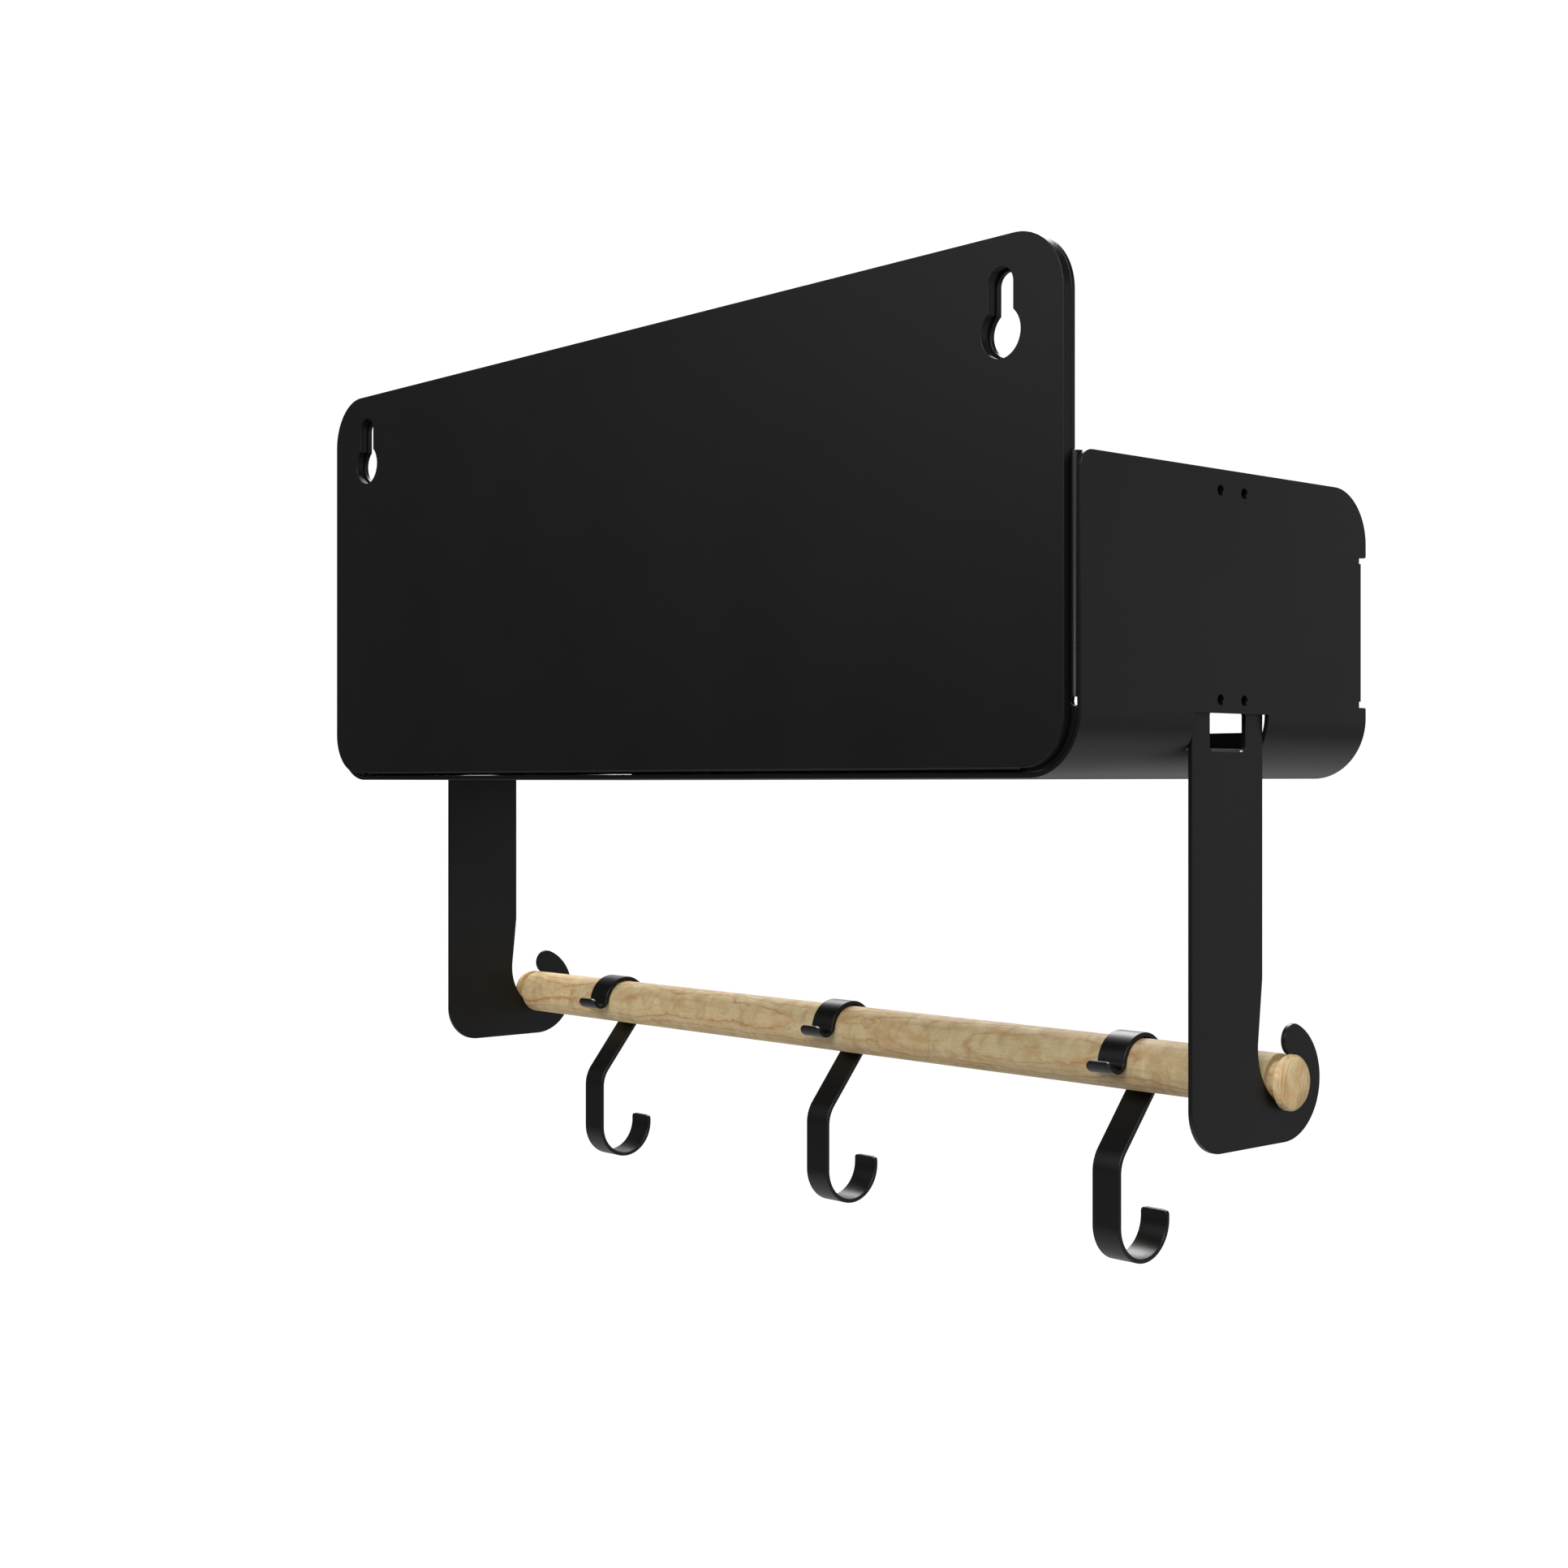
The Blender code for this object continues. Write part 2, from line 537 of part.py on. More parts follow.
# ---- strip hooks -----------------------------------------------------------
def hook_path():
    """Middle of the strip in (forward, height) from the rod's axis, lip first."""
    start = math.radians(180.0 - CLIP_START)
    curl_reach = CLIP_RADIUS + LIP_CURL_RADIUS
    curl_centre = (curl_reach * math.cos(start), curl_reach * math.sin(start))
    meeting = -CLIP_START
    path = arc(curl_centre, LIP_CURL_RADIUS, meeting - LIP_CURL_SWEEP, meeting, 12.0)
    path += arc((0.0, 0.0), CLIP_RADIUS, 180.0 - CLIP_START, 180.0 - CLIP_END, 8.0)[1:]
    # The shank leaves the clip on a tangent and bends at the knee to hang plumb.
    lean = math.radians(CLIP_END - 180.0)
    leave = Vector((CLIP_RADIUS * math.cos(lean), -CLIP_RADIUS * math.sin(lean)))
    down = Vector((-math.sin(lean), -math.cos(lean)))
    run = (leave.x + CROOK_RADIUS) / math.sin(lean)
    corner = leave + down * run
    setback = KNEE_RADIUS * math.tan(lean / 2)
    knee = (-CROOK_RADIUS + KNEE_RADIUS, corner.y - setback)
    path += arc(knee, KNEE_RADIUS, 180.0 - math.degrees(lean), 180.0, 8.0)
    path += arc((0.0, -CROOK_DROP), CROOK_RADIUS, 180.0, 360.0, CORNER_STEP)
    path += [(CROOK_RADIUS, CROOK_TIP - CROOK_DROP)]
    return [Vector(point) for point in path]


def distances(path):
    """Distance of each point along the path."""
    total = 0.0
    result = [total]
    for first, second in zip(path, path[1:]):
        total += (second - first).length
        result.append(total)
    return result


def point_at(path, along, distance):
    for index in range(1, len(path)):
        if distance <= along[index] or index == len(path) - 1:
            share = (distance - along[index - 1]) / (along[index] - along[index - 1])
            return path[index - 1].lerp(path[index], share)


def half_width_at(distance, length):
    """The strip narrows at both ends along its rounded corners."""
    half = HOOK_WIDTH / 2
    for from_end, radius in ((distance, LIP_CORNER), (length - distance, CROOK_CORNER)):
        if from_end < radius:
            half -= radius - math.sqrt(max(0.0, radius ** 2 - (radius - from_end) ** 2))
    return half


def hook_mesh():
    path = hook_path()
    along = distances(path)
    length = along[-1]
    stations = set()
    for step in range(6):
        share = 1 - math.cos(math.radians(90.0 * step / 5))
        stations.add(round(LIP_CORNER * share, 7))
        stations.add(round(length - CROOK_CORNER * share, 7))
    inner = [value for value in along if LIP_CORNER < value < length - CROOK_CORNER]
    mesh = bpy.data.meshes.new("strip_hook")
    work = bmesh.new()
    rows = []
    for distance in sorted(stations | set(inner)):
        forward, height = point_at(path, along, distance)
        half = half_width_at(distance, length)
        rows.append([work.verts.new((side * half, -forward, height)) for side in (-1, 1)])
    for first, second in zip(rows, rows[1:]):
        work.faces.new((first[0], first[1], second[1], second[0]))
    work.to_mesh(mesh)
    work.free()
    return mesh


def make_hooks(collection, material):
    mesh = hook_mesh()
    mesh.materials.append(material)
    shade(mesh)
    for name, step in (("hook_left", -1), ("hook_middle", 0), ("hook_right", 1)):
        hook = bpy.data.objects.new(name, mesh)
        collection.objects.link(hook)
        hook.location = (step * HOOK_SPACING, -ROD_FORWARD, -ROD_DROP)
        solidify = hook.modifiers.new("thickness", "SOLIDIFY")
        solidify.thickness = HOOK_STRIP
        solidify.offset = 0
        solidify.use_even_offset = True


# ---- assembly --------------------------------------------------------------
def hang_on_wall(parts):
    """Lower everything until the wall screws are level with the origin."""
    bpy.context.view_layer.update()
    drop = Matrix.Translation((0.0, 0.0, KEYHOLE_SLOT_DROP - PANEL_HEIGHT))
    for part in parts.objects:
        part.matrix_world = drop @ part.matrix_world


def main():
    clear_scene()
    parts = new_collection("hook_rail_shelf")
    black_steel = new_material("black_powder_coat", (0.022, 0.022, 0.023), 0.42, 0.0)
    black_board = new_material("black_backing", (0.018, 0.018, 0.018), 0.55, 0.0)
    black_hook = new_material("black_hook_enamel", (0.016, 0.016, 0.017), 0.32, 0.0)
    pale_wood = new_material("pale_wood", (0.72, 0.55, 0.36), 0.55, 0.0)
    make_backing_plate(parts, black_board)
    make_back_panel(parts, black_steel)
    make_box_sheet(parts, black_steel)
    make_hanger("left", -1, parts, black_steel)
    make_hanger("right", 1, parts, black_steel)
    make_rod(parts, pale_wood)
    make_hooks(parts, black_hook)
    hang_on_wall(parts)


main()
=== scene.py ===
"""Looks of the wall shelf with a hook rail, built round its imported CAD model.

Every piece is rebuilt finer than its CAD node: sheet with rounded, painted
edges folded along its bends, strip hooks swept with rounded edges and a turned
rod. X runs along the shelf, +Y points into the wall and +Z is up.
"""

import math

import bmesh
import bpy
from mathutils import Matrix, Vector


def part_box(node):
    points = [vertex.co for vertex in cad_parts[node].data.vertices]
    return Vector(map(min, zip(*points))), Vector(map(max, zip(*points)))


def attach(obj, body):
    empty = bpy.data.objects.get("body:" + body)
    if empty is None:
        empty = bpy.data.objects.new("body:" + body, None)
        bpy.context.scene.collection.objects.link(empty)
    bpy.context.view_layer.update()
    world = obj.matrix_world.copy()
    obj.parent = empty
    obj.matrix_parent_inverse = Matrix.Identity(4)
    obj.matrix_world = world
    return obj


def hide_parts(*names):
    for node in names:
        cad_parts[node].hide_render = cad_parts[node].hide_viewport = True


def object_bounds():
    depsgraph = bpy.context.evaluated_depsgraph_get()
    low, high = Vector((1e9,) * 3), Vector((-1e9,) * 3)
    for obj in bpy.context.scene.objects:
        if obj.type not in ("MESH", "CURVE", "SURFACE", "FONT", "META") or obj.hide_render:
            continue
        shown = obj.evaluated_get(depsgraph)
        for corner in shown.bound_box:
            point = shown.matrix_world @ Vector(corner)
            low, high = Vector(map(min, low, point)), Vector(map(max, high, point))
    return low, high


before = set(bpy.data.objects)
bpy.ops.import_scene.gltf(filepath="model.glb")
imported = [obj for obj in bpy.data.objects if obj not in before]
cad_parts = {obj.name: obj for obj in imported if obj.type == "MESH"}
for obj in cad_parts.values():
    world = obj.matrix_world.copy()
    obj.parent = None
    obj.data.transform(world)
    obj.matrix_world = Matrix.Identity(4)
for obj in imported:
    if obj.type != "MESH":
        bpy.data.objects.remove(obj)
cad_low, cad_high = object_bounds()

# ---- sizes of the design, in metres ----------------------------------------
SHEET = 0.002                # thickness of folded sheet and hanger plates
PLATE_THICKNESS = 0.004
GAP = 0.0003                 # paint and assembly gap between touching pieces
EDGE = 0.0002                # rounding that paint leaves on a cut edge
BEND_RADIUS = 0.025          # outside radius of the two lower corners
TIGHT_RADIUS = 0.0025        # outside radius of flange, tab and lip bends
BIG_BEND_STEPS = 30
TIGHT_BEND_STEPS = 8
NEST_GAP = SHEET + GAP       # back panel's corners inside the big bends

# Box sheet
SIDE_HEIGHT = 0.1184         # underside of the box to the top of the sides
SIDE_FRONT_RADIUS = 0.022
SIDE_BACK_RADIUS = 0.006
EAR_LOW_TOP = 0.0292         # height at which the lower front ear ends
EAR_HIGH_BOTTOM = 0.0909     # height at which the upper front ear starts
EAR_CORNER = 0.0008
TAB_SETBACK = 0.002          # front face of tabs and lip behind the ears
TAB_RELIEF = 0.0025          # slot between a tab or lip and its ear
TAB_RELIEF_DEPTH = 0.0003    # how far that slot goes past the bend line
TAB_WIDTH = 0.020
LIP_HEIGHT = 0.020
LIP_INSET = 0.003            # end of the lip to the start of the big bend
SLOT_CLEARANCE = 0.00075     # side slot longer than the hanger, each end
SLOT_EDGE_CLEARANCE = 0.0004  # slot's lower edge clear of the hanger's face
WELD_HOLE_RADIUS = 0.002
WELD_HOLE_PITCH = 0.015
WELD_HOLE_LOW = 0.0301       # height of the lower pair
WELD_HOLE_TOP_DROP = 0.0081  # upper pair under the side's top

# Back panel and backing plate
PLATE_TOP_RADIUS = 0.024
PLATE_BOTTOM_RADIUS = 0.020
FLANGE_TOP_DROP = 0.0004     # flange ends this far under the side's top
SIDE_RELIEF_HEIGHT = 0.0277  # centre of the relief under a side flange
BOTTOM_RELIEF_INSET = 0.0277  # centre of the relief beside the bottom flange
RELIEF_RADIUS = 0.0017
RELIEF_OFFSET = 0.0008       # from the folded outline in to the relief's centre
KEYHOLE_INSET = 0.0306       # keyhole's centre line in from the plate's edge
KEYHOLE_TRAVEL = 0.0179      # slot's end centre down to the entry's centre
KEYHOLE_ENTRY_RADIUS = 0.0088
KEYHOLE_SLOT_WIDTH = 0.0103
KEYHOLE_MARGIN = 0.001       # the backing plate's keyhole is this much larger

# Hanger plates
HANGER_WIDTH = 0.0445
HANGER_TOP_RADIUS = 0.004
HANGER_HEEL_RADIUS = 0.018   # lower rear corner
SEAT_RADIUS = 0.0089
TAPER_TOP_RISE = 0.042       # rod axis up to where the front edge tapers
NECK_TO_ROD = 0.0175         # rod axis back to the neck of the hook
NECK_RADIUS = 0.0253
TIP_RADIUS = 0.0065          # round end of the hook
TIP_ANGLE = 68.0             # degrees up from straight forward
WINDOW_WIDTH = 0.0224
WINDOW_HEIGHT = 0.0155
WINDOW_RADIUS = 0.0018

# Rod
GROOVE_RADIUS = 0.0086
GROOVE_WIDTH = 0.0044
ROD_END = 0.003              # disc outside the groove
ROD_CHAMFER = 0.001
ROD_FACET = 0.0001           # small facet on each edge of the chamfer
ROD_END_RINGS = (0.003, 0.006)  # rings of faces on the flat end
ROD_SOFT = 0.0003            # worn corner beside a groove
ROD_STEPS = 96
ROD_LENGTHS = 40             # rings of faces between the two grooves

# Strip hooks
HOOK_WIDTH = 0.0144
HOOK_STRIP = 0.002
HOOK_EDGE = 0.00045          # rounded edge of the strip
HOOK_CLEARANCE = 0.0005      # clip's inside round the rod
CLIP_START = 8.0             # degrees above level where the lip curls away
CLIP_LEAVE = 39.3            # degrees below level where the shank leaves
LIP_CURL_RADIUS = 0.0042     # middle of the strip
LIP_CURL_SWEEP = 176.0
CROOK_DROP = 0.0668          # rod axis down to the crook's centre
CROOK_RADIUS = 0.016
CROOK_TIP = 0.0034           # straight end of the crook
KNEE_RADIUS = 0.015
LIP_CORNER = 0.0036          # rounded corners of the lip's edge
CROOK_CORNER = 0.002         # rounded corners of the crook's edge
CORNER_MARKS = 8             # sections across a rounded corner
CORNER_MARGIN = 0.0001       # sections of the path keep this far from a corner

# Wood
HEART_FORWARD = 0.070        # heart of the tree in front of the rod's axis
HEART_BELOW = 0.020          # and under it
RINGS_PER_METRE = 480.0
FADE = 0.0001                # half the width over which an end's tone changes

# ---- places read from the CAD ----------------------------------------------
box_low, box_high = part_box("box_sheet")
plate_low, plate_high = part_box("backing_plate")
panel_low, panel_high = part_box("back_panel")
rod_low, rod_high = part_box("rod")
hanger_low, hanger_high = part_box("hanger_left")

BOX_HALF = box_high.x
BOX_FRONT = -box_low.y
FLOOR_Z = box_low.z          # underside of the box
SHELL_BACK = -box_high.y
FLOOR_HALF = BOX_HALF - BEND_RADIUS
BEND_LENGTH = BEND_RADIUS * math.pi / 2
TIGHT_LENGTH = TIGHT_RADIUS * math.pi / 2
TAB_LINE = BOX_FRONT - TAB_SETBACK - TIGHT_RADIUS
PLATE_HALF = plate_high.x
PANEL_TOP = plate_high.z - FLOOR_Z
NEST_HALF = panel_high.x
NEST_BOTTOM = panel_low.z - FLOOR_Z
FLANGE_DEPTH = -panel_low.y - SHELL_BACK
ROD_RADIUS = (rod_high.z - rod_low.z) / 2
ROD_FORWARD = -(rod_high.y + rod_low.y) / 2
ROD_HEIGHT = (rod_high.z + rod_low.z) / 2 - FLOOR_Z
ROD_HALF = rod_high.x
HANGER_BACK = -hanger_high.y
HANGER_MIDDLE = HANGER_BACK + HANGER_WIDTH / 2
HANGER_FRONT = HANGER_BACK + HANGER_WIDTH
SLOT_BITE = 2 * SHEET + GAP + SLOT_EDGE_CLEARANCE    # slot in from the side's face
SLOT_ANGLE = math.acos(1 - SLOT_BITE / BEND_RADIUS)  # its lower edge, on the bend


# ---- outlines --------------------------------------------------------------
def arc(centre, radius, start, end, step=3.0):
    """Points from start to end, in degrees, both included."""
    count = max(2, math.ceil(abs(end - start) / step - 1e-6))
    points = []
    for index in range(count + 1):
        angle = math.radians(start + (end - start) * index / count)
        points.append((centre[0] + radius * math.cos(angle),
                       centre[1] + radius * math.sin(angle)))
    return points


def circle(centre, radius):
    """Closed ring of points."""
    return arc(centre, radius, 0.0, 360.0, 9.0)[:-1]


def rounded_box(low, high, radius):
    """Rectangle with round corners."""
    x0, y0 = low
    x1, y1 = high
    return (arc((x1 - radius, y0 + radius), radius, -90, 0, 9.0)
            + arc((x1 - radius, y1 - radius), radius, 0, 90, 9.0)
            + arc((x0 + radius, y1 - radius), radius, 90, 180, 9.0)
            + arc((x0 + radius, y0 + radius), radius, 180, 270, 9.0))


def mirrored(points):
    """Half an outline and its mirror image across x = 0."""
    return points + [(-x, y) for x, y in reversed(points)]


def keyholes(margin):
    """Round entries below, slots with round ends above."""
    entry_radius = KEYHOLE_ENTRY_RADIUS + margin
    half_slot = KEYHOLE_SLOT_WIDTH / 2 + margin
    slot_end = -FLOOR_Z
    entry = slot_end - KEYHOLE_TRAVEL
    mouth = math.degrees(math.asin(half_slot / entry_radius))
    holes = []
    for side in (-1, 1):
        x = side * (PLATE_HALF - KEYHOLE_INSET)
        holes.append(arc((x, entry), entry_radius, 90 + mouth, 450 - mouth, 4.0)
                     + arc((x, slot_end), half_slot, 0, 180, 5.0))
    return holes


# ---- sheet metal: draw flat, score, fold -----------------------------------
def weld(mesh):
    """Join vertices that lie on each other."""
    work = bmesh.new()
    work.from_mesh(mesh)
    bmesh.ops.remove_doubles(work, verts=work.verts, dist=2e-6)
    work.to_mesh(mesh)
    work.free()


def fill(outlines, thickness):
    """Solid mesh of a flat drawing with rounded edges, centred on z = 0."""
    curve = bpy.data.curves.new("drawing", "CURVE")
    curve.dimensions = "2D"
    curve.fill_mode = "BOTH"
    curve.extrude = thickness / 2 - EDGE
    curve.bevel_depth = EDGE
    curve.bevel_resolution = 2
    curve.offset = -EDGE
    for outline in outlines:
        spline = curve.splines.new("POLY")
        spline.points.add(len(outline) - 1)
        for point, (x, y) in zip(spline.points, outline):
            point.co = (x, y, 0.0, 1.0)
        spline.use_cyclic_u = True
    drawing = bpy.data.objects.new("drawing", curve)
    bpy.context.scene.collection.objects.link(drawing)
    bpy.context.view_layer.update()
    evaluated = drawing.evaluated_get(bpy.context.evaluated_depsgraph_get())
    mesh = bpy.data.meshes.new_from_object(evaluated)
    bpy.data.objects.remove(drawing, do_unlink=True)
    weld(mesh)
    return mesh


def finish_piece(name, mesh, node, body, material):
    """Put a finished mesh in the scene in place of its CAD node."""
    mesh.materials.clear()
    mesh.materials.append(material)
    mesh.shade_smooth()
    piece = bpy.data.objects.new(name, mesh)
    bpy.context.scene.collection.objects.link(piece)
    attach(piece, body)
    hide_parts(node)
    return piece


def weighted(piece):
    """Flat faces keep flat shading while rounded edges and bends stay smooth."""
    normals = piece.modifiers.new("normals", "WEIGHTED_NORMAL")
    normals.mode = "FACE_AREA"
    normals.weight = 90
    normals.keep_sharp = False
    return piece


def score_and_fold(mesh, score_lines, fold):
    """Cut the flat sheet along its bends, then move each point to its folded place."""
    work = bmesh.new()
    work.from_mesh(mesh)
    for normal, distance in score_lines:
        everything = work.verts[:] + work.edges[:] + work.faces[:]
        bmesh.ops.bisect_plane(work, geom=everything, dist=1e-7,
                               plane_co=Vector(normal) * distance, plane_no=normal)
    for vertex in work.verts:
        vertex.co = fold(vertex.co.x, vertex.co.y, SHEET / 2 - vertex.co.z)
        vertex.co.z += FLOOR_Z
    work.to_mesh(mesh)
    work.free()


def bent(distance, radius, depth):
    """Where a point goes in a right-angle bend: (straight on, turned)."""
    length = radius * math.pi / 2
    if distance <= 0:
        return distance, depth
    if distance < length:
        angle = distance / radius
        inner = radius - depth
        return inner * math.sin(angle), radius - inner * math.cos(angle)
    return radius - depth, radius + distance - length


def bend_lines(normal, start, radius, steps):
    """Evenly spaced score lines across one bend."""
    length = radius * math.pi / 2
    return [(normal, start + length * index / steps) for index in range(steps + 1)]


# ---- box sheet -------------------------------------------------------------
def up_side(height):
    """Distance along the sheet's section, from the middle of the floor."""
    return FLOOR_HALF + BEND_LENGTH + height - BEND_RADIUS


def fold_box(along, forward, depth):
    """Folded place of a point on the flat box sheet."""
    straight, risen = bent(abs(along) - FLOOR_HALF, BEND_RADIUS, depth)
    x = FLOOR_HALF + straight
    z = risen
    low = up_side(EAR_LOW_TOP + TAB_RELIEF / 2)
    high = up_side(EAR_HIGH_BOTTOM - TAB_RELIEF / 2)
    past, turned = bent(forward - TAB_LINE, TIGHT_RADIUS, depth)
    if forward > TAB_LINE and low < abs(along) < high:
        forward = TAB_LINE + past
        x = BOX_HALF - turned
    if forward > TAB_LINE and abs(along) < FLOOR_HALF - LIP_INSET + TAB_RELIEF / 2:
        forward = TAB_LINE + past
        z = turned
    return Vector((math.copysign(x, along), -forward, z))


def box_outline():
    """Half of the flat sheet, from the middle of its front lip to the back."""
    lip_end = FLOOR_HALF - LIP_INSET
    lip_edge = TAB_LINE + TIGHT_LENGTH + LIP_HEIGHT - TIGHT_RADIUS
    tab_edge = TAB_LINE + TIGHT_LENGTH + TAB_WIDTH - TIGHT_RADIUS
    relief = TAB_LINE - TAB_RELIEF_DEPTH
    tab_low = up_side(EAR_LOW_TOP + TAB_RELIEF)
    tab_high = up_side(EAR_HIGH_BOTTOM - TAB_RELIEF)
    top = up_side(SIDE_HEIGHT)
    corner = EAR_CORNER
    outline = arc((lip_end - corner, lip_edge - corner), corner, 90, 0, 22.5)
    outline += [(lip_end, relief), (lip_end + TAB_RELIEF, relief)]
    outline += [(lip_end + TAB_RELIEF, BOX_FRONT)]
    outline += arc((up_side(EAR_LOW_TOP) - corner, BOX_FRONT - corner), corner, 90, 0, 22.5)
    outline += [(up_side(EAR_LOW_TOP), relief), (tab_low, relief)]
    outline += arc((tab_low + corner, tab_edge - corner), corner, 180, 90, 22.5)
    outline += arc((tab_high - corner, tab_edge - corner), corner, 90, 0, 22.5)
    outline += [(tab_high, relief), (up_side(EAR_HIGH_BOTTOM), relief)]
    outline += arc((up_side(EAR_HIGH_BOTTOM) + corner, BOX_FRONT - corner), corner, 180, 90, 22.5)
    outline += arc((top - SIDE_FRONT_RADIUS, BOX_FRONT - SIDE_FRONT_RADIUS),
                   SIDE_FRONT_RADIUS, 90, 0)
    outline += arc((top - SIDE_BACK_RADIUS, SHELL_BACK + SIDE_BACK_RADIUS),
                   SIDE_BACK_RADIUS, 0, -90, 6.0)
    return outline


def box_holes():
    """Weld holes and hanger slots of both sides, on the flat sheet."""
    holes = []
    slot_low = FLOOR_HALF + BEND_RADIUS * (math.pi / 2 - SLOT_ANGLE)
    slot_high = FLOOR_HALF + BEND_LENGTH
    slot_back = HANGER_BACK - SLOT_CLEARANCE
    slot_front = HANGER_FRONT + SLOT_CLEARANCE
    for side in (-1, 1):
        ends = sorted((side * slot_low, side * slot_high))
        holes.append([(ends[0], slot_back), (ends[1], slot_back),
                      (ends[1], slot_front), (ends[0], slot_front)])
        for height in (WELD_HOLE_LOW, SIDE_HEIGHT - WELD_HOLE_TOP_DROP):
            for shift in (-WELD_HOLE_PITCH / 2, WELD_HOLE_PITCH / 2):
                centre = (side * up_side(height), HANGER_MIDDLE + shift)
                holes.append(circle(centre, WELD_HOLE_RADIUS))
    return holes


def make_box_sheet(material):
    mesh = fill([mirrored(box_outline())] + box_holes(), SHEET)
    lines = bend_lines((1, 0, 0), FLOOR_HALF, BEND_RADIUS, BIG_BEND_STEPS)
    lines += bend_lines((-1, 0, 0), FLOOR_HALF, BEND_RADIUS, BIG_BEND_STEPS)
    lines += bend_lines((0, 1, 0), TAB_LINE, TIGHT_RADIUS, TIGHT_BEND_STEPS)
    score_and_fold(mesh, lines, fold_box)
    return weighted(finish_piece("box_sheet_painted", mesh, "box_sheet", "shelf",
                                 material))


# ---- back panel and backing plate ------------------------------------------
def fold_back(across, height, depth):
    """Folded place of a point on the flat back panel."""
    x = abs(across)
    forward = SHELL_BACK + depth
    z = height
    beyond_side = x - NEST_HALF + TIGHT_RADIUS
    beyond_bottom = NEST_BOTTOM + TIGHT_RADIUS - height
    if beyond_side > 0 and SIDE_RELIEF_HEIGHT < height < SIDE_HEIGHT - FLANGE_TOP_DROP / 2:
        run, turned = bent(beyond_side, TIGHT_RADIUS, depth)
        x = NEST_HALF - TIGHT_RADIUS + run
        forward = SHELL_BACK + turned
    if beyond_bottom > 0 and x < BOX_HALF - BOTTOM_RELIEF_INSET:
        run, turned = bent(beyond_bottom, TIGHT_RADIUS, depth)
        z = NEST_BOTTOM + TIGHT_RADIUS - run
        forward = SHELL_BACK + turned
    return Vector((-math.copysign(x, across), -forward, z))


def panel_top():
    """Upper corner that both back sheets share."""
    corner = PLATE_TOP_RADIUS
    return arc((PLATE_HALF - corner, PANEL_TOP - corner), corner, 0, 90)


def back_outline():
    """Half of the flat panel, from the bottom flange up to the top edge."""
    reach = TIGHT_LENGTH + FLANGE_DEPTH - 2 * TIGHT_RADIUS
    relief_x = BOX_HALF - BOTTOM_RELIEF_INSET
    half_angle = math.degrees(math.acos(RELIEF_OFFSET / RELIEF_RADIUS))
    bite = math.sqrt(RELIEF_RADIUS ** 2 - RELIEF_OFFSET ** 2)
    flange_top = SIDE_HEIGHT - FLANGE_TOP_DROP
    outline = [(relief_x - bite, NEST_BOTTOM - reach)]
    outline += arc((relief_x, NEST_BOTTOM + RELIEF_OFFSET), RELIEF_RADIUS,
                   270 - half_angle, -90 + half_angle, 9.0)
    outline += arc((FLOOR_HALF, BEND_RADIUS), BEND_RADIUS - NEST_GAP, -90, 0)
    outline += arc((NEST_HALF - RELIEF_OFFSET, SIDE_RELIEF_HEIGHT), RELIEF_RADIUS,
                   360 - half_angle, half_angle, 9.0)
    outline += [(NEST_HALF + reach, SIDE_RELIEF_HEIGHT + bite), (NEST_HALF + reach, flange_top)]
    outline += [(NEST_HALF - TIGHT_RADIUS, flange_top)]
    outline += [(NEST_HALF - TIGHT_RADIUS, SIDE_HEIGHT), (PLATE_HALF, SIDE_HEIGHT)]
    outline += panel_top()
    return outline


def make_back_panel(material):
    mesh = fill([mirrored(back_outline())] + keyholes(0.0), SHEET)
    lines = bend_lines((1, 0, 0), NEST_HALF - TIGHT_RADIUS, TIGHT_RADIUS, TIGHT_BEND_STEPS)
    lines += bend_lines((-1, 0, 0), NEST_HALF - TIGHT_RADIUS, TIGHT_RADIUS, TIGHT_BEND_STEPS)
    lines += bend_lines((0, -1, 0), -NEST_BOTTOM - TIGHT_RADIUS, TIGHT_RADIUS, TIGHT_BEND_STEPS)
    score_and_fold(mesh, lines, fold_back)
    return weighted(finish_piece("back_panel_painted", mesh, "back_panel", "shelf",
                                 material))


def make_backing_plate(material):
    plate_bottom = plate_low.z - FLOOR_Z
    corner = PLATE_BOTTOM_RADIUS
    bottom = arc((PLATE_HALF - corner, plate_bottom + corner), corner, -90, 0)
    mesh = fill([mirrored(bottom + panel_top())] + keyholes(KEYHOLE_MARGIN), PLATE_THICKNESS)
    upright = Matrix(((1, 0, 0, 0), (0, 0, -1, -PLATE_THICKNESS / 2),
                      (0, 1, 0, FLOOR_Z), (0, 0, 0, 1)))
    mesh.transform(upright)
    return weighted(finish_piece("backing_plate_painted", mesh, "backing_plate", "shelf",
                                 material))


# ---- hanger plates ---------------------------------------------------------
def tangent_angle(centre, radius, point):
    """Angle on a circle at which a line from the point touches it, in degrees."""
    offset = Vector(point) - Vector(centre)
    spread = math.acos(radius / offset.length)
    return math.degrees(math.atan2(offset.y, offset.x) + spread)


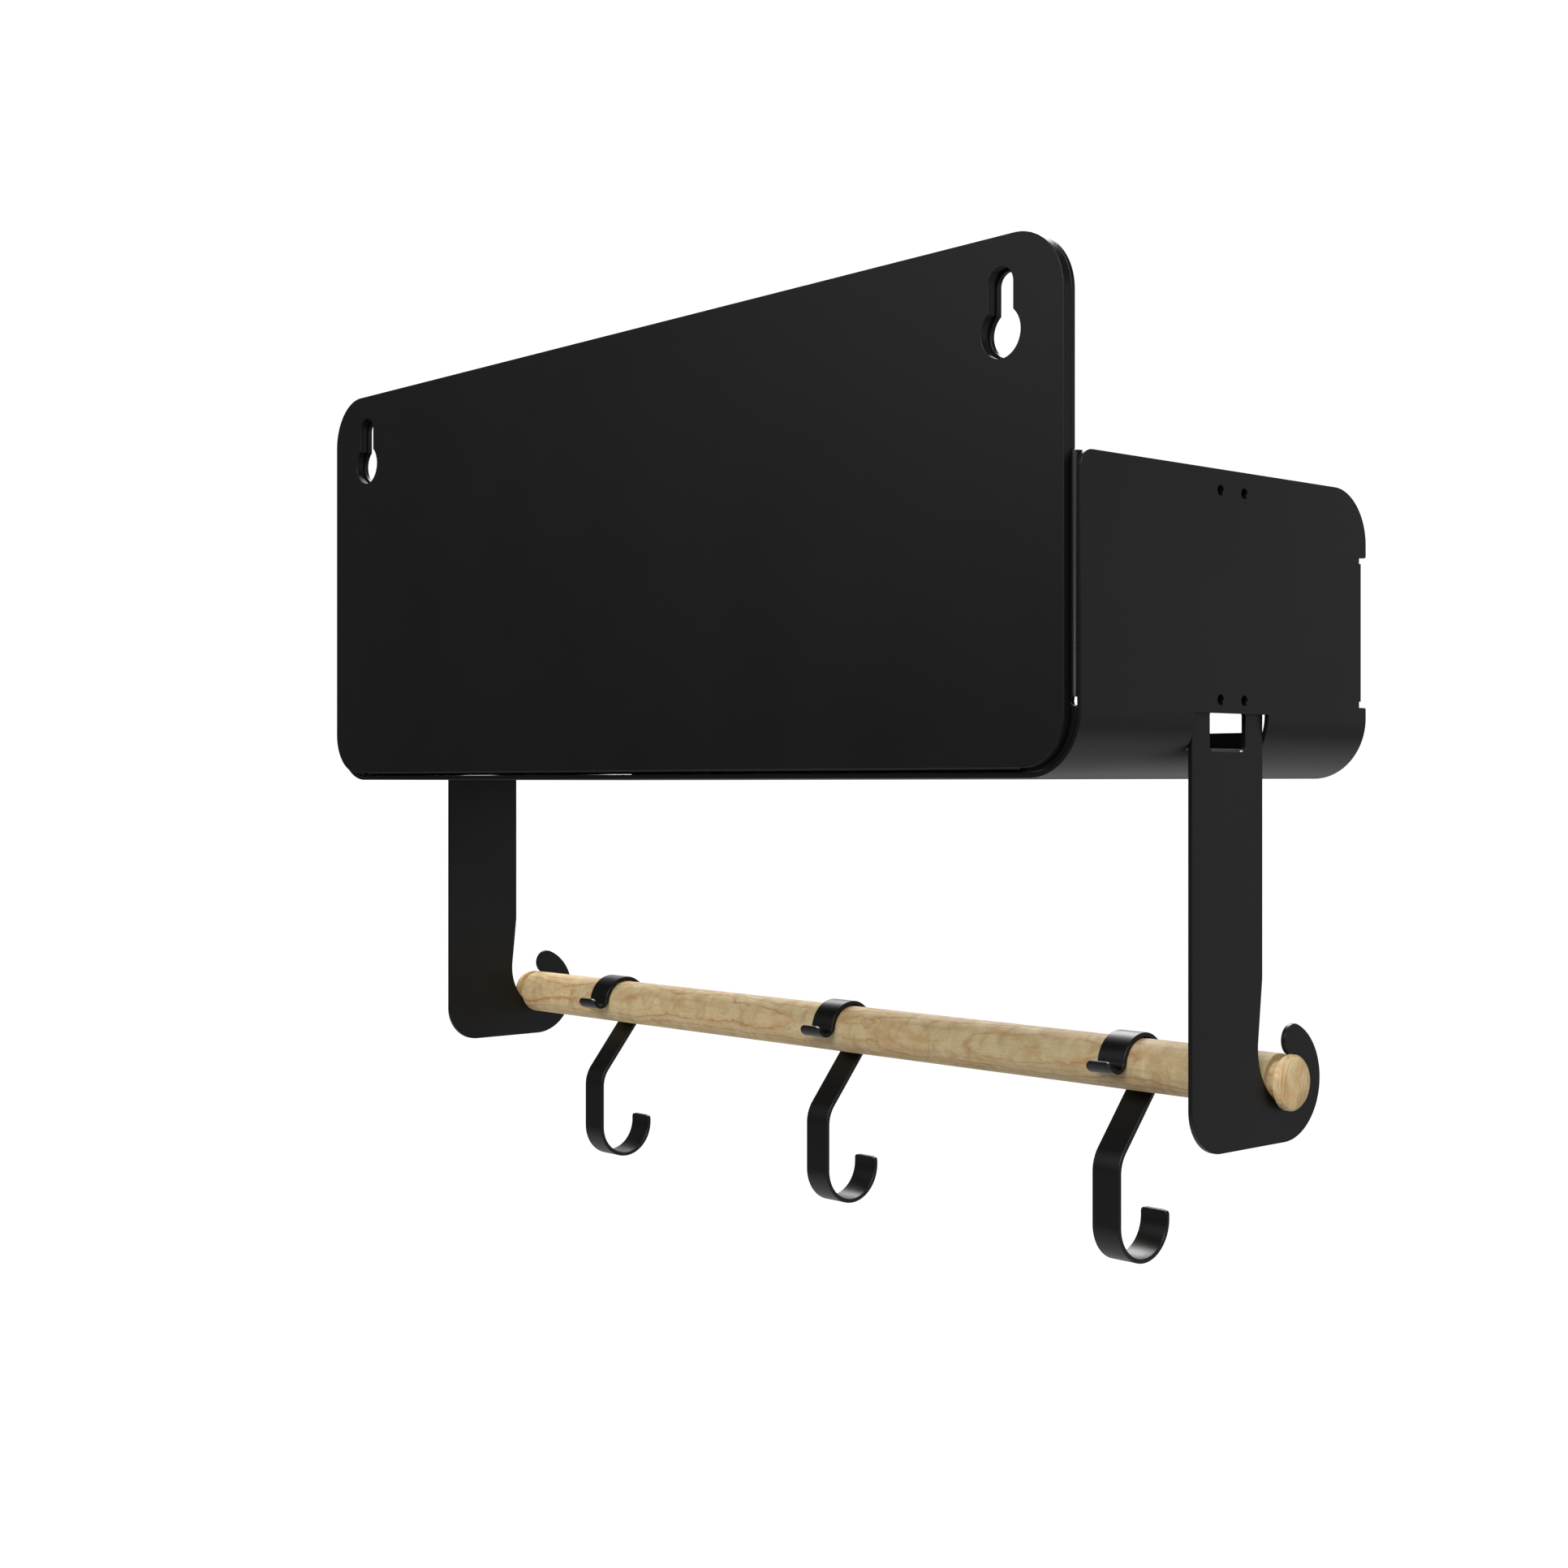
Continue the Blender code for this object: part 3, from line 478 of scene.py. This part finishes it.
def hanger_outline():
    """Outline in (forward, height), with the hook's seat round the rod's axis."""
    rod = (ROD_FORWARD, ROD_HEIGHT)
    arm = -hanger_low.y - ROD_FORWARD
    rear = HANGER_BACK
    top = hanger_high.z - FLOOR_Z
    bottom = hanger_low.z - FLOOR_Z
    tip_x = (arm - TIP_RADIUS) * math.cos(math.radians(TIP_ANGLE))
    tip_z = (arm - TIP_RADIUS) * math.sin(math.radians(TIP_ANGLE))
    # An arc leads from the round tip in to the front of the seat.
    lead = tip_x - SEAT_RADIUS
    inner_radius = (tip_z ** 2 + lead ** 2 - TIP_RADIUS ** 2) / (2 * (TIP_RADIUS - lead))
    inner_x = SEAT_RADIUS - inner_radius
    inner_angle = math.degrees(math.atan2(tip_z, tip_x - inner_x))
    neck_x = NECK_RADIUS - NECK_TO_ROD
    neck_z = math.sqrt((NECK_RADIUS - SEAT_RADIUS) ** 2 - neck_x ** 2)
    seat_angle = math.degrees(math.atan2(-neck_z, -neck_x))
    neck_centre = (rod[0] + neck_x, rod[1] + neck_z)
    taper_top = (HANGER_FRONT, rod[1] + TAPER_TOP_RISE)
    neck_angle = tangent_angle(neck_centre, NECK_RADIUS, taper_top) - 360.0
    heel = HANGER_HEEL_RADIUS
    corner = HANGER_TOP_RADIUS
    outline = arc((rear + heel, bottom + heel), heel, 180, 270)
    outline += arc(rod, arm, 270, 360.0 + TIP_ANGLE)
    outline += arc((rod[0] + tip_x, rod[1] + tip_z), TIP_RADIUS, TIP_ANGLE + 6.0,
                   inner_angle + 180, 6.0)
    outline += arc((rod[0] + inner_x, rod[1]), inner_radius, inner_angle, 0)[1:]
    outline += arc(rod, SEAT_RADIUS, 0, seat_angle)[1:]
    outline += arc(neck_centre, NECK_RADIUS, seat_angle, neck_angle)[1:]
    outline += [taper_top]
    outline += arc((HANGER_FRONT - corner, top - corner), corner, 0, 90, 9.0)
    outline += arc((rear + corner, top - corner), corner, 90, 180, 9.0)
    return outline


def make_hanger(side_name, material):
    sill = BEND_RADIUS * (1 - math.sin(SLOT_ANGLE))
    window = rounded_box((HANGER_MIDDLE - WINDOW_WIDTH / 2, sill),
                         (HANGER_MIDDLE + WINDOW_WIDTH / 2, sill + WINDOW_HEIGHT),
                         WINDOW_RADIUS)
    mesh = fill([hanger_outline(), window], SHEET)
    low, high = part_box(f"hanger_{side_name}")
    upright = Matrix(((0, 0, -1, (low.x + high.x) / 2), (-1, 0, 0, 0),
                      (0, 1, 0, FLOOR_Z), (0, 0, 0, 1)))
    mesh.transform(upright)
    return weighted(finish_piece(f"hanger_{side_name}_painted", mesh, f"hanger_{side_name}",
                                 "shelf", material))


# ---- rod -------------------------------------------------------------------
def make_rod(material):
    """Turned rod with a groove near each end and a small chamfer on its rims."""
    end = ROD_HALF
    groove_outer = end - ROD_END
    groove_inner = groove_outer - GROOVE_WIDTH
    shoulder = groove_inner - ROD_SOFT
    wide = ROD_CHAMFER + ROD_FACET
    narrow = ROD_CHAMFER - ROD_FACET
    half = [(end, 0.0)] + [(end, radius) for radius in ROD_END_RINGS]
    half += [(end, ROD_RADIUS - wide), (end - ROD_FACET, ROD_RADIUS - narrow)]
    half += [(end - narrow, ROD_RADIUS - ROD_FACET), (end - wide, ROD_RADIUS)]
    half += [(groove_outer + ROD_SOFT, ROD_RADIUS), (groove_outer, ROD_RADIUS - ROD_SOFT)]
    half += [(groove_outer, GROOVE_RADIUS), (groove_inner, GROOVE_RADIUS)]
    half += [(groove_inner, ROD_RADIUS - ROD_SOFT), (shoulder, ROD_RADIUS)]
    inner = [shoulder * (1 - 2 * index / ROD_LENGTHS) for index in range(1, ROD_LENGTHS)]
    profile = half + [(x, ROD_RADIUS) for x in inner] + [(-x, r) for x, r in reversed(half)]
    mesh = bpy.data.meshes.new("rod_turned")
    work = bmesh.new()
    verts = [work.verts.new((x, 0.0, r)) for x, r in profile]
    edges = [work.edges.new(pair) for pair in zip(verts, verts[1:])]
    bmesh.ops.spin(work, geom=verts + edges, axis=(1, 0, 0), cent=(0, 0, 0),
                   angle=2 * math.pi, steps=ROD_STEPS, use_merge=True)
    bmesh.ops.remove_doubles(work, verts=work.verts, dist=1e-6)
    bmesh.ops.recalc_face_normals(work, faces=work.faces)
    bmesh.ops.translate(work, verts=work.verts, vec=(0.0, -ROD_FORWARD, ROD_HEIGHT + FLOOR_Z))
    work.to_mesh(mesh)
    work.free()
    piece = finish_piece("rod_turned", mesh, "rod", "rod", material)
    mesh.set_sharp_from_angle(angle=math.radians(35))
    return piece


# ---- strip hooks -----------------------------------------------------------
def hook_path():
    """Middle of the strip in (forward, height) from the rod's axis, lip first."""
    clip = ROD_RADIUS + HOOK_CLEARANCE + HOOK_STRIP / 2
    curl = LIP_CURL_RADIUS
    start = math.radians(180.0 - CLIP_START)
    curl_centre = ((clip + curl) * math.cos(start), (clip + curl) * math.sin(start))
    path = arc(curl_centre, curl, -CLIP_START - LIP_CURL_SWEEP, -CLIP_START, 8.0)
    path += arc((0.0, 0.0), clip, 180.0 - CLIP_START, -CLIP_LEAVE)[1:]
    # The shank leaves the clip on a tangent and bends at the knee to hang plumb.
    lean = math.radians(CLIP_LEAVE)
    leave = Vector((clip * math.cos(lean), -clip * math.sin(lean)))
    down = Vector((-math.sin(lean), -math.cos(lean)))
    corner = leave + down * ((leave.x + CROOK_RADIUS) / math.sin(lean))
    knee = (KNEE_RADIUS - CROOK_RADIUS, corner.y - KNEE_RADIUS * math.tan(lean / 2))
    path += arc(knee, KNEE_RADIUS, 180.0 - CLIP_LEAVE, 180.0)
    path += arc((0.0, -CROOK_DROP), CROOK_RADIUS, 180.0, 360.0)
    path += [(CROOK_RADIUS, CROOK_TIP - CROOK_DROP)]
    return [Vector(point) for point in path]


def half_width_at(distance, length):
    """The strip narrows at both ends along its rounded corners."""
    half = HOOK_WIDTH / 2
    for from_end, radius in ((distance, LIP_CORNER), (length - distance, CROOK_CORNER)):
        if from_end < radius:
            half -= radius - math.sqrt(max(0.0, radius ** 2 - (radius - from_end) ** 2))
    return half


def strip_section(half_width, half_thick, edge):
    """Rounded rectangle round the strip's section, as (across, outward)."""
    points = []
    for corner_x, corner_y, start in ((1, 1, 0), (-1, 1, 90), (-1, -1, 180), (1, -1, 270)):
        centre = (corner_x * (half_width - edge), corner_y * (half_thick - edge))
        points += arc(centre, edge, start, start + 90, 22.5)
    return points


def strip_stations(along):
    """Where the strip gets a section, as (distance, how far its end is rounded in)."""
    length = along[-1]
    edge = HOOK_EDGE
    past_lip = LIP_CORNER + CORNER_MARGIN
    before_tip = length - CROOK_CORNER - CORNER_MARGIN
    marks = {value for value in along if past_lip < value < before_tip}
    for index in range(CORNER_MARKS + 1):
        share = 1 - math.cos(math.radians(90.0 * index / CORNER_MARKS))
        marks.add(edge + (LIP_CORNER - edge) * share)
        marks.add(length - edge - (CROOK_CORNER - edge) * share)
    return [(0.0, edge)] + [(value, 0.0) for value in sorted(marks)] + [(length, edge)]


def hook_mesh(name, origin):
    """The strip swept along its path, section by section."""
    path = hook_path()
    along = [0.0]
    for first, second in zip(path, path[1:]):
        along.append(along[-1] + (second - first).length)
    length = along[-1]
    edge = HOOK_EDGE
    rings = []
    work = bmesh.new()
    for distance, inset in strip_stations(along):
        index = next(i for i in range(1, len(along)) if distance <= along[i] + 1e-9)
        share = (distance - along[index - 1]) / (along[index] - along[index - 1])
        point = path[index - 1].lerp(path[index], share)
        before = path[max(0, index - 2)] if share < 0.5 else path[index - 1]
        after = path[index] if share < 0.5 else path[min(len(path) - 1, index + 1)]
        tangent = (after - before).normalized()
        outward = Vector((-tangent.y, tangent.x))
        half = half_width_at(max(distance, edge * 0.5), length) - inset
        thinned = inset * 0.8
        ring = []
        for across, out in strip_section(half, HOOK_STRIP / 2 - thinned, edge - thinned):
            place = point + outward * out
            offset = Vector((across, -place.x, place.y))
            ring.append(work.verts.new(origin + offset))
        rings.append(ring)
    count = len(rings[0])
    for first, second in zip(rings, rings[1:]):
        for index in range(count):
            other = (index + 1) % count
            work.faces.new((first[index], first[other], second[other], second[index]))
    work.faces.new(rings[0])
    work.faces.new(reversed(rings[-1]))
    bmesh.ops.recalc_face_normals(work, faces=work.faces)
    mesh = bpy.data.meshes.new(name)
    work.to_mesh(mesh)
    work.free()
    return mesh


def make_hook(node, material):
    low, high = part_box(node)
    origin = Vector(((low.x + high.x) / 2, -ROD_FORWARD, ROD_HEIGHT + FLOOR_Z))
    mesh = hook_mesh(f"{node}_strip", origin)
    return weighted(finish_piece(f"{node}_enamelled", mesh, node, node, material))


# ---- materials -------------------------------------------------------------
class Shader:
    """A Principled material and short calls to add the nodes that feed it."""

    def __init__(self, name):
        self.material = bpy.data.materials.new(name)
        self.material.use_nodes = True
        self.tree = self.material.node_tree
        self.surface = self.tree.nodes["Principled BSDF"]
        self.place = self.add("ShaderNodeTexCoord").outputs["Object"]

    def add(self, kind, **settings):
        node = self.tree.nodes.new(kind)
        for key, value in settings.items():
            setattr(node, key, value)
        return node

    def feed(self, socket, value):
        if isinstance(value, bpy.types.NodeSocket):
            self.tree.links.new(value, socket)
        else:
            socket.default_value = value

    def stretched(self, scale, shift=(0.0, 0.0, 0.0)):
        mapping = self.add("ShaderNodeMapping")
        self.feed(mapping.inputs["Vector"], self.place)
        self.feed(mapping.inputs["Scale"], scale)
        self.feed(mapping.inputs["Location"], shift)
        return mapping.outputs["Vector"]

    def noise(self, vector, scale, detail=3.0, roughness=0.5, distortion=0.0):
        noise = self.add("ShaderNodeTexNoise")
        self.feed(noise.inputs["Vector"], vector)
        self.feed(noise.inputs["Scale"], scale)
        self.feed(noise.inputs["Detail"], detail)
        self.feed(noise.inputs["Roughness"], roughness)
        self.feed(noise.inputs["Distortion"], distortion)
        return noise.outputs["Fac"]

    def math(self, operation, first, second=0.0, third=0.0):
        node = self.add("ShaderNodeMath", operation=operation)
        for socket, value in zip(node.inputs, (first, second, third)):
            self.feed(socket, value)
        return node.outputs[0]

    def spread(self, value, from_low, from_high, to_low, to_high):
        node = self.add("ShaderNodeMapRange")
        for socket, entry in zip(node.inputs, (value, from_low, from_high, to_low, to_high)):
            self.feed(socket, entry)
        return node.outputs[0]

    def ramp(self, value, stops):
        node = self.add("ShaderNodeValToRGB")
        node.color_ramp.interpolation = "EASE"
        elements = node.color_ramp.elements
        while len(elements) < len(stops):
            elements.new(0.5)
        for element, (position, color) in zip(elements, stops):
            element.position = position
            element.color = (*color, 1.0)
        self.feed(node.inputs["Fac"], value)
        return node.outputs["Color"]

    def mix(self, share, first, second, blend="MIX"):
        node = self.add("ShaderNodeMix", data_type="RGBA", blend_type=blend)
        self.feed(node.inputs[0], share)
        self.feed(node.inputs[6], first)
        self.feed(node.inputs[7], second)
        return node.outputs[2]

    def bump(self, height, distance, strength=1.0, under=None):
        node = self.add("ShaderNodeBump")
        self.feed(node.inputs["Height"], height)
        self.feed(node.inputs["Distance"], distance)
        self.feed(node.inputs["Strength"], strength)
        if under is not None:
            self.feed(node.inputs["Normal"], under)
        return node.outputs["Normal"]


def powder_coat(name, dark, light, roughness, peel):
    """Black powder coat: faint orange peel, fine pits and slight cloudiness.

    The base colours were fitted to the photo and are darker than real coats.
    """
    shader = Shader(name)
    clouds = shader.noise(shader.place, 14.0, 4.0, 0.55)
    grain = shader.noise(shader.place, 2600.0, 2.0, 0.6)
    ripple = shader.noise(shader.place, 620.0, 2.0, 0.5)
    tone = shader.math("ADD", shader.math("MULTIPLY", clouds, 0.7),
                       shader.math("MULTIPLY", grain, 0.3))
    color = shader.ramp(tone, [(0.3, dark), (0.7, light)])
    shader.feed(shader.surface.inputs["Base Color"], color)
    shader.surface.inputs["Specular IOR Level"].default_value = 0.33
    rough = shader.spread(tone, 0.3, 0.7, roughness - 0.03, roughness + 0.03)
    shader.feed(shader.surface.inputs["Roughness"], rough)
    normal = shader.bump(ripple, peel)
    normal = shader.bump(grain, peel * 0.3, 1.0, normal)
    shader.feed(shader.surface.inputs["Normal"], normal)
    return shader.material


def pale_wood(name):
    """Clear-finished turned pale wood: few dark growth rings, curl and pores, with painted light
    making it brighter towards +X, on the discs outside the grooves and on the end faces.
    """
    shader = Shader(name)
    surface = shader.surface
    split = shader.add("ShaderNodeSeparateXYZ")
    shader.feed(split.inputs[0], shader.place)
    # The heart of the tree lies far in front of the rod, so its rings are nearly
    # upright lines on the ends and long tongues on the face towards the wall.
    across = shader.math("ADD", split.outputs["Y"], ROD_FORWARD + HEART_FORWARD)
    heart_z = ROD_HEIGHT + FLOOR_Z - HEART_BELOW
    upward = shader.math("SUBTRACT", split.outputs["Z"], heart_z)
    reach = shader.math("SQRT", shader.math("ADD", shader.math("POWER", across, 2.0),
                                            shader.math("POWER", upward, 2.0)))
    wander = shader.noise(shader.stretched((11.0, 30.0, 30.0)), 1.0, 2.0, 0.45)
    jitter = shader.noise(shader.stretched((120.0, 260.0, 260.0)), 1.0, 3.0, 0.65)
    from_middle = shader.math("ABSOLUTE", split.outputs["X"])
    face = ROD_HALF - 2 * FADE
    end_grain = shader.spread(from_middle, face - FADE, face + FADE, 0.0, 1.0)
    wavy = shader.math("MULTIPLY_ADD", wander, 0.017, reach)
    unrest = shader.math("MULTIPLY_ADD", end_grain, -0.0019, 0.0024)
    wavy = shader.math("MULTIPLY_ADD", jitter, unrest, wavy)
    count = shader.math("MULTIPLY", wavy, RINGS_PER_METRE)
    phase = shader.math("FRACT", count)
    rise = shader.spread(phase, 0.35, 0.86, 0.0, 1.0)
    fall = shader.spread(phase, 0.86, 1.0, 1.0, 0.0)
    line = shader.math("MULTIPLY", shader.math("POWER", rise, 2.6), fall)
    ring_number = shader.add("ShaderNodeTexWhiteNoise", noise_dimensions="1D")
    shader.feed(ring_number.inputs["W"], shader.math("FLOOR", count))
    ring_depth = shader.spread(ring_number.outputs["Value"], 0.15, 0.75, 0.25, 1.0)
    patches = shader.stretched((55.0, 170.0, 170.0), (0.0, 3.0, 1.0))
    broken = shader.noise(patches, 1.0, 3.0, 0.65)
    broken = shader.spread(broken, 0.34, 0.56, 0.25, 1.0)
    line = shader.math("MULTIPLY", shader.math("MULTIPLY", line, ring_depth), broken)
    line = shader.math("MULTIPLY", line, shader.math("MULTIPLY_ADD", end_grain, 0.3, 0.85))

    curl = shader.noise(shader.stretched((105.0, 85.0, 85.0)), 1.0, 3.0, 0.62, 0.9)
    elsewhere = shader.stretched((38.0, 100.0, 100.0), (3.1, 0.0, 1.7))
    cloud = shader.noise(elsewhere, 1.0, 4.0, 0.65, 1.0)
    fibre = shader.noise(shader.stretched((60.0, 1500.0, 1500.0)), 1.0, 3.0, 0.6)
    fleck = shader.noise(shader.stretched((240.0, 900.0, 900.0)), 1.0, 2.0, 0.6)
    ground = shader.ramp(curl, [(0.32, (0.385, 0.285, 0.150)), (0.50, (0.470, 0.368, 0.205)),
                                (0.68, (0.520, 0.425, 0.255))])
    flush = shader.spread(cloud, 0.48, 0.64, 0.0, 0.60)
    warmed = shader.mix(flush, ground, (0.415, 0.252, 0.108, 1.0))
    specks = shader.spread(fleck, 0.64, 0.76, 0.0, 0.35)
    specked = shader.mix(specks, warmed, (0.280, 0.170, 0.083, 1.0))
    streaked = shader.mix(line, specked, (0.330, 0.142, 0.044, 1.0))
    fibres = shader.spread(fibre, 0.3, 0.7, 0.94, 1.05)
    # This ramp and the two end factors are not in the wood. They were fitted to
    # the way light falls on the rod in the photo; 1 everywhere is plain wood.
    painted_light = shader.spread(split.outputs["X"], -ROD_HALF, ROD_HALF, 0.86, 1.42)
    groove = ROD_HALF - ROD_END
    # Painted light: the disc outside each groove is made up to 1.3 times brighter.
    painted_rim_light = shader.spread(from_middle, groove - FADE, groove + FADE, 1.0, 1.30)
    painted_light = shader.math("MULTIPLY", painted_light, painted_rim_light)
    # Painted light: the end faces are made up to 1.34 times brighter.
    painted_light = shader.math("MULTIPLY", painted_light, shader.math("MULTIPLY_ADD", end_grain, 0.34, 1.0))
    toned = shader.mix(1.0, streaked, shader.math("MULTIPLY", fibres, painted_light), "MULTIPLY")
    shader.feed(surface.inputs["Base Color"], toned)
    surface.inputs["Specular IOR Level"].default_value = 0.2
    shader.feed(surface.inputs["Roughness"], shader.spread(fibre, 0.3, 0.7, 0.56, 0.68))
    height = shader.math("MULTIPLY_ADD", line, -0.6, shader.math("MULTIPLY", fibre, 0.6))
    shader.feed(surface.inputs["Normal"], shader.bump(height, 0.00006))
    return shader.material


def make_materials():
    sheet = powder_coat("powder_coat", (0.0015, 0.0015, 0.0016), (0.0022, 0.0022, 0.0023),
                        0.40, 0.000012)
    backing = powder_coat("backing_coat", (0.0013, 0.0013, 0.0014), (0.0018, 0.0018, 0.0019),
                          0.42, 0.000012)
    hook = powder_coat("hook_enamel", (0.0012, 0.0012, 0.0013), (0.0016, 0.0016, 0.0017),
                       0.41, 0.000005)
    return sheet, backing, hook, pale_wood("pale_wood")


# ---- stage, lights and camera ----------------------------------------------
FLOOR_DROP = 0.30            # floor under the lowest point of the part
POOL_CENTRE = (-0.1, -0.5, 0.0)
POOL_NEAR, POOL_FAR = 0.5, 1.7   # distances between which the pool dims
POOL_BRIGHT, POOL_DIM = 0.56, 0.06
CAMERA_PLACE = (-0.76817, 0.59296, FLOOR_Z - 0.00216)
CAMERA_HEADING = 41.7414     # degrees from +X towards -Y
CAMERA_LENS = 49.92


def seen_or_lighting(tree, seen, lighting):
    """One value for what the camera sees directly, another for all other light."""
    path = tree.nodes.new("ShaderNodeLightPath")
    choice = tree.nodes.new("ShaderNodeMapRange")
    tree.links.new(path.outputs["Is Camera Ray"], choice.inputs["Value"])
    choice.inputs["To Min"].default_value = lighting
    choice.inputs["To Max"].default_value = seen
    return choice.outputs[0]


def make_floor():
    """Pale floor: white to the camera, a dim soft pool to all other light."""
    bpy.ops.mesh.primitive_plane_add(size=60.0, location=(0.0, 0.0, cad_low.z - FLOOR_DROP))
    floor = bpy.context.object
    floor.name = "floor"
    material = bpy.data.materials.new("pale_floor")
    material.use_nodes = True
    tree = material.node_tree
    shader = tree.nodes["Principled BSDF"]
    shader.inputs["Base Color"].default_value = (0.12, 0.12, 0.12, 1.0)
    shader.inputs["Roughness"].default_value = 0.9
    shader.inputs["Emission Color"].default_value = (1.0, 1.0, 1.0, 1.0)
    # A pool of light under and before the shelf; the far floor stays dim.
    place = tree.nodes.new("ShaderNodeTexCoord").outputs["Object"]
    distance = tree.nodes.new("ShaderNodeVectorMath")
    distance.operation = "DISTANCE"
    distance.inputs[1].default_value = POOL_CENTRE
    tree.links.new(place, distance.inputs[0])
    pool = tree.nodes.new("ShaderNodeMapRange")
    pool.interpolation_type = "SMOOTHSTEP"
    tree.links.new(distance.outputs["Value"], pool.inputs["Value"])
    pool.inputs["From Min"].default_value = POOL_NEAR
    pool.inputs["From Max"].default_value = POOL_FAR
    pool.inputs["To Min"].default_value = POOL_BRIGHT
    pool.inputs["To Max"].default_value = POOL_DIM
    strength = seen_or_lighting(tree, 1.0, 0.0)
    tree.links.new(pool.outputs[0], strength.node.inputs["To Min"])
    tree.links.new(strength, shader.inputs["Emission Strength"])
    floor.data.materials.append(material)


def make_world():
    """White to the camera, softer grey to everything the world lights."""
    world = bpy.data.worlds.new("studio")
    bpy.context.scene.world = world
    world.use_nodes = True
    tree = world.node_tree
    background = tree.nodes["Background"]
    tree.links.new(seen_or_lighting(tree, 1.05, 0.1125), background.inputs["Strength"])
    background.inputs["Color"].default_value = (1.0, 1.0, 1.0, 1.0)


def make_light(name, direction, distance, size, radiance):
    """Soft panel facing the object, its brightness given per unit of area."""
    light = bpy.data.lights.new(name, "AREA")
    light.shape = "RECTANGLE"
    light.size, light.size_y = size
    light.energy = radiance * math.pi * size[0] * size[1]
    lamp = bpy.data.objects.new(name, light)
    bpy.context.scene.collection.objects.link(lamp)
    outward = Vector(direction).normalized()
    lamp.location = (cad_low + cad_high) / 2 + outward * distance
    lamp.rotation_mode = "QUATERNION"
    lamp.rotation_quaternion = (-outward).to_track_quat("-Z", "Y")
    lamp.visible_camera = False


def make_lights():
    make_light("key", (-0.45, 0.70, 0.60), 2.2, (1.3, 1.1), 14.25)
    make_light("front", (0.50, -0.55, 0.72), 1.5, (1.0, 1.0), 12.0)
    make_light("side_panel", (-0.80, -0.60, 0.05), 2.4, (2.4, 1.8), 0.45)
    make_light("back_glow", (0.45, 0.85, 0.42), 2.4, (1.1, 1.1), 1.35)


def make_camera():
    """Camera solved from the straight edges in the photo."""
    camera = bpy.data.cameras.new("camera")
    camera.lens = CAMERA_LENS
    camera.sensor_width = 36.0
    camera.clip_start = 0.01
    camera.clip_end = 200.0
    holder = bpy.data.objects.new("camera", camera)
    bpy.context.scene.collection.objects.link(holder)
    holder.location = CAMERA_PLACE
    heading = math.radians(CAMERA_HEADING)
    forward = Vector((math.cos(heading), -math.sin(heading), 0.0))
    holder.rotation_mode = "QUATERNION"
    holder.rotation_quaternion = forward.to_track_quat("-Z", "Y")
    bpy.context.scene.camera = holder


def main():
    sheet, backing, hook, wood = make_materials()
    make_box_sheet(sheet)
    make_back_panel(sheet)
    make_backing_plate(backing)
    make_hanger("left", sheet)
    make_hanger("right", sheet)
    make_rod(wood)
    for node in ("hook_left", "hook_middle", "hook_right"):
        make_hook(node, hook)
    make_floor()
    make_world()
    make_lights()
    make_camera()
    bpy.context.scene.view_settings.view_transform = "Standard"


main()
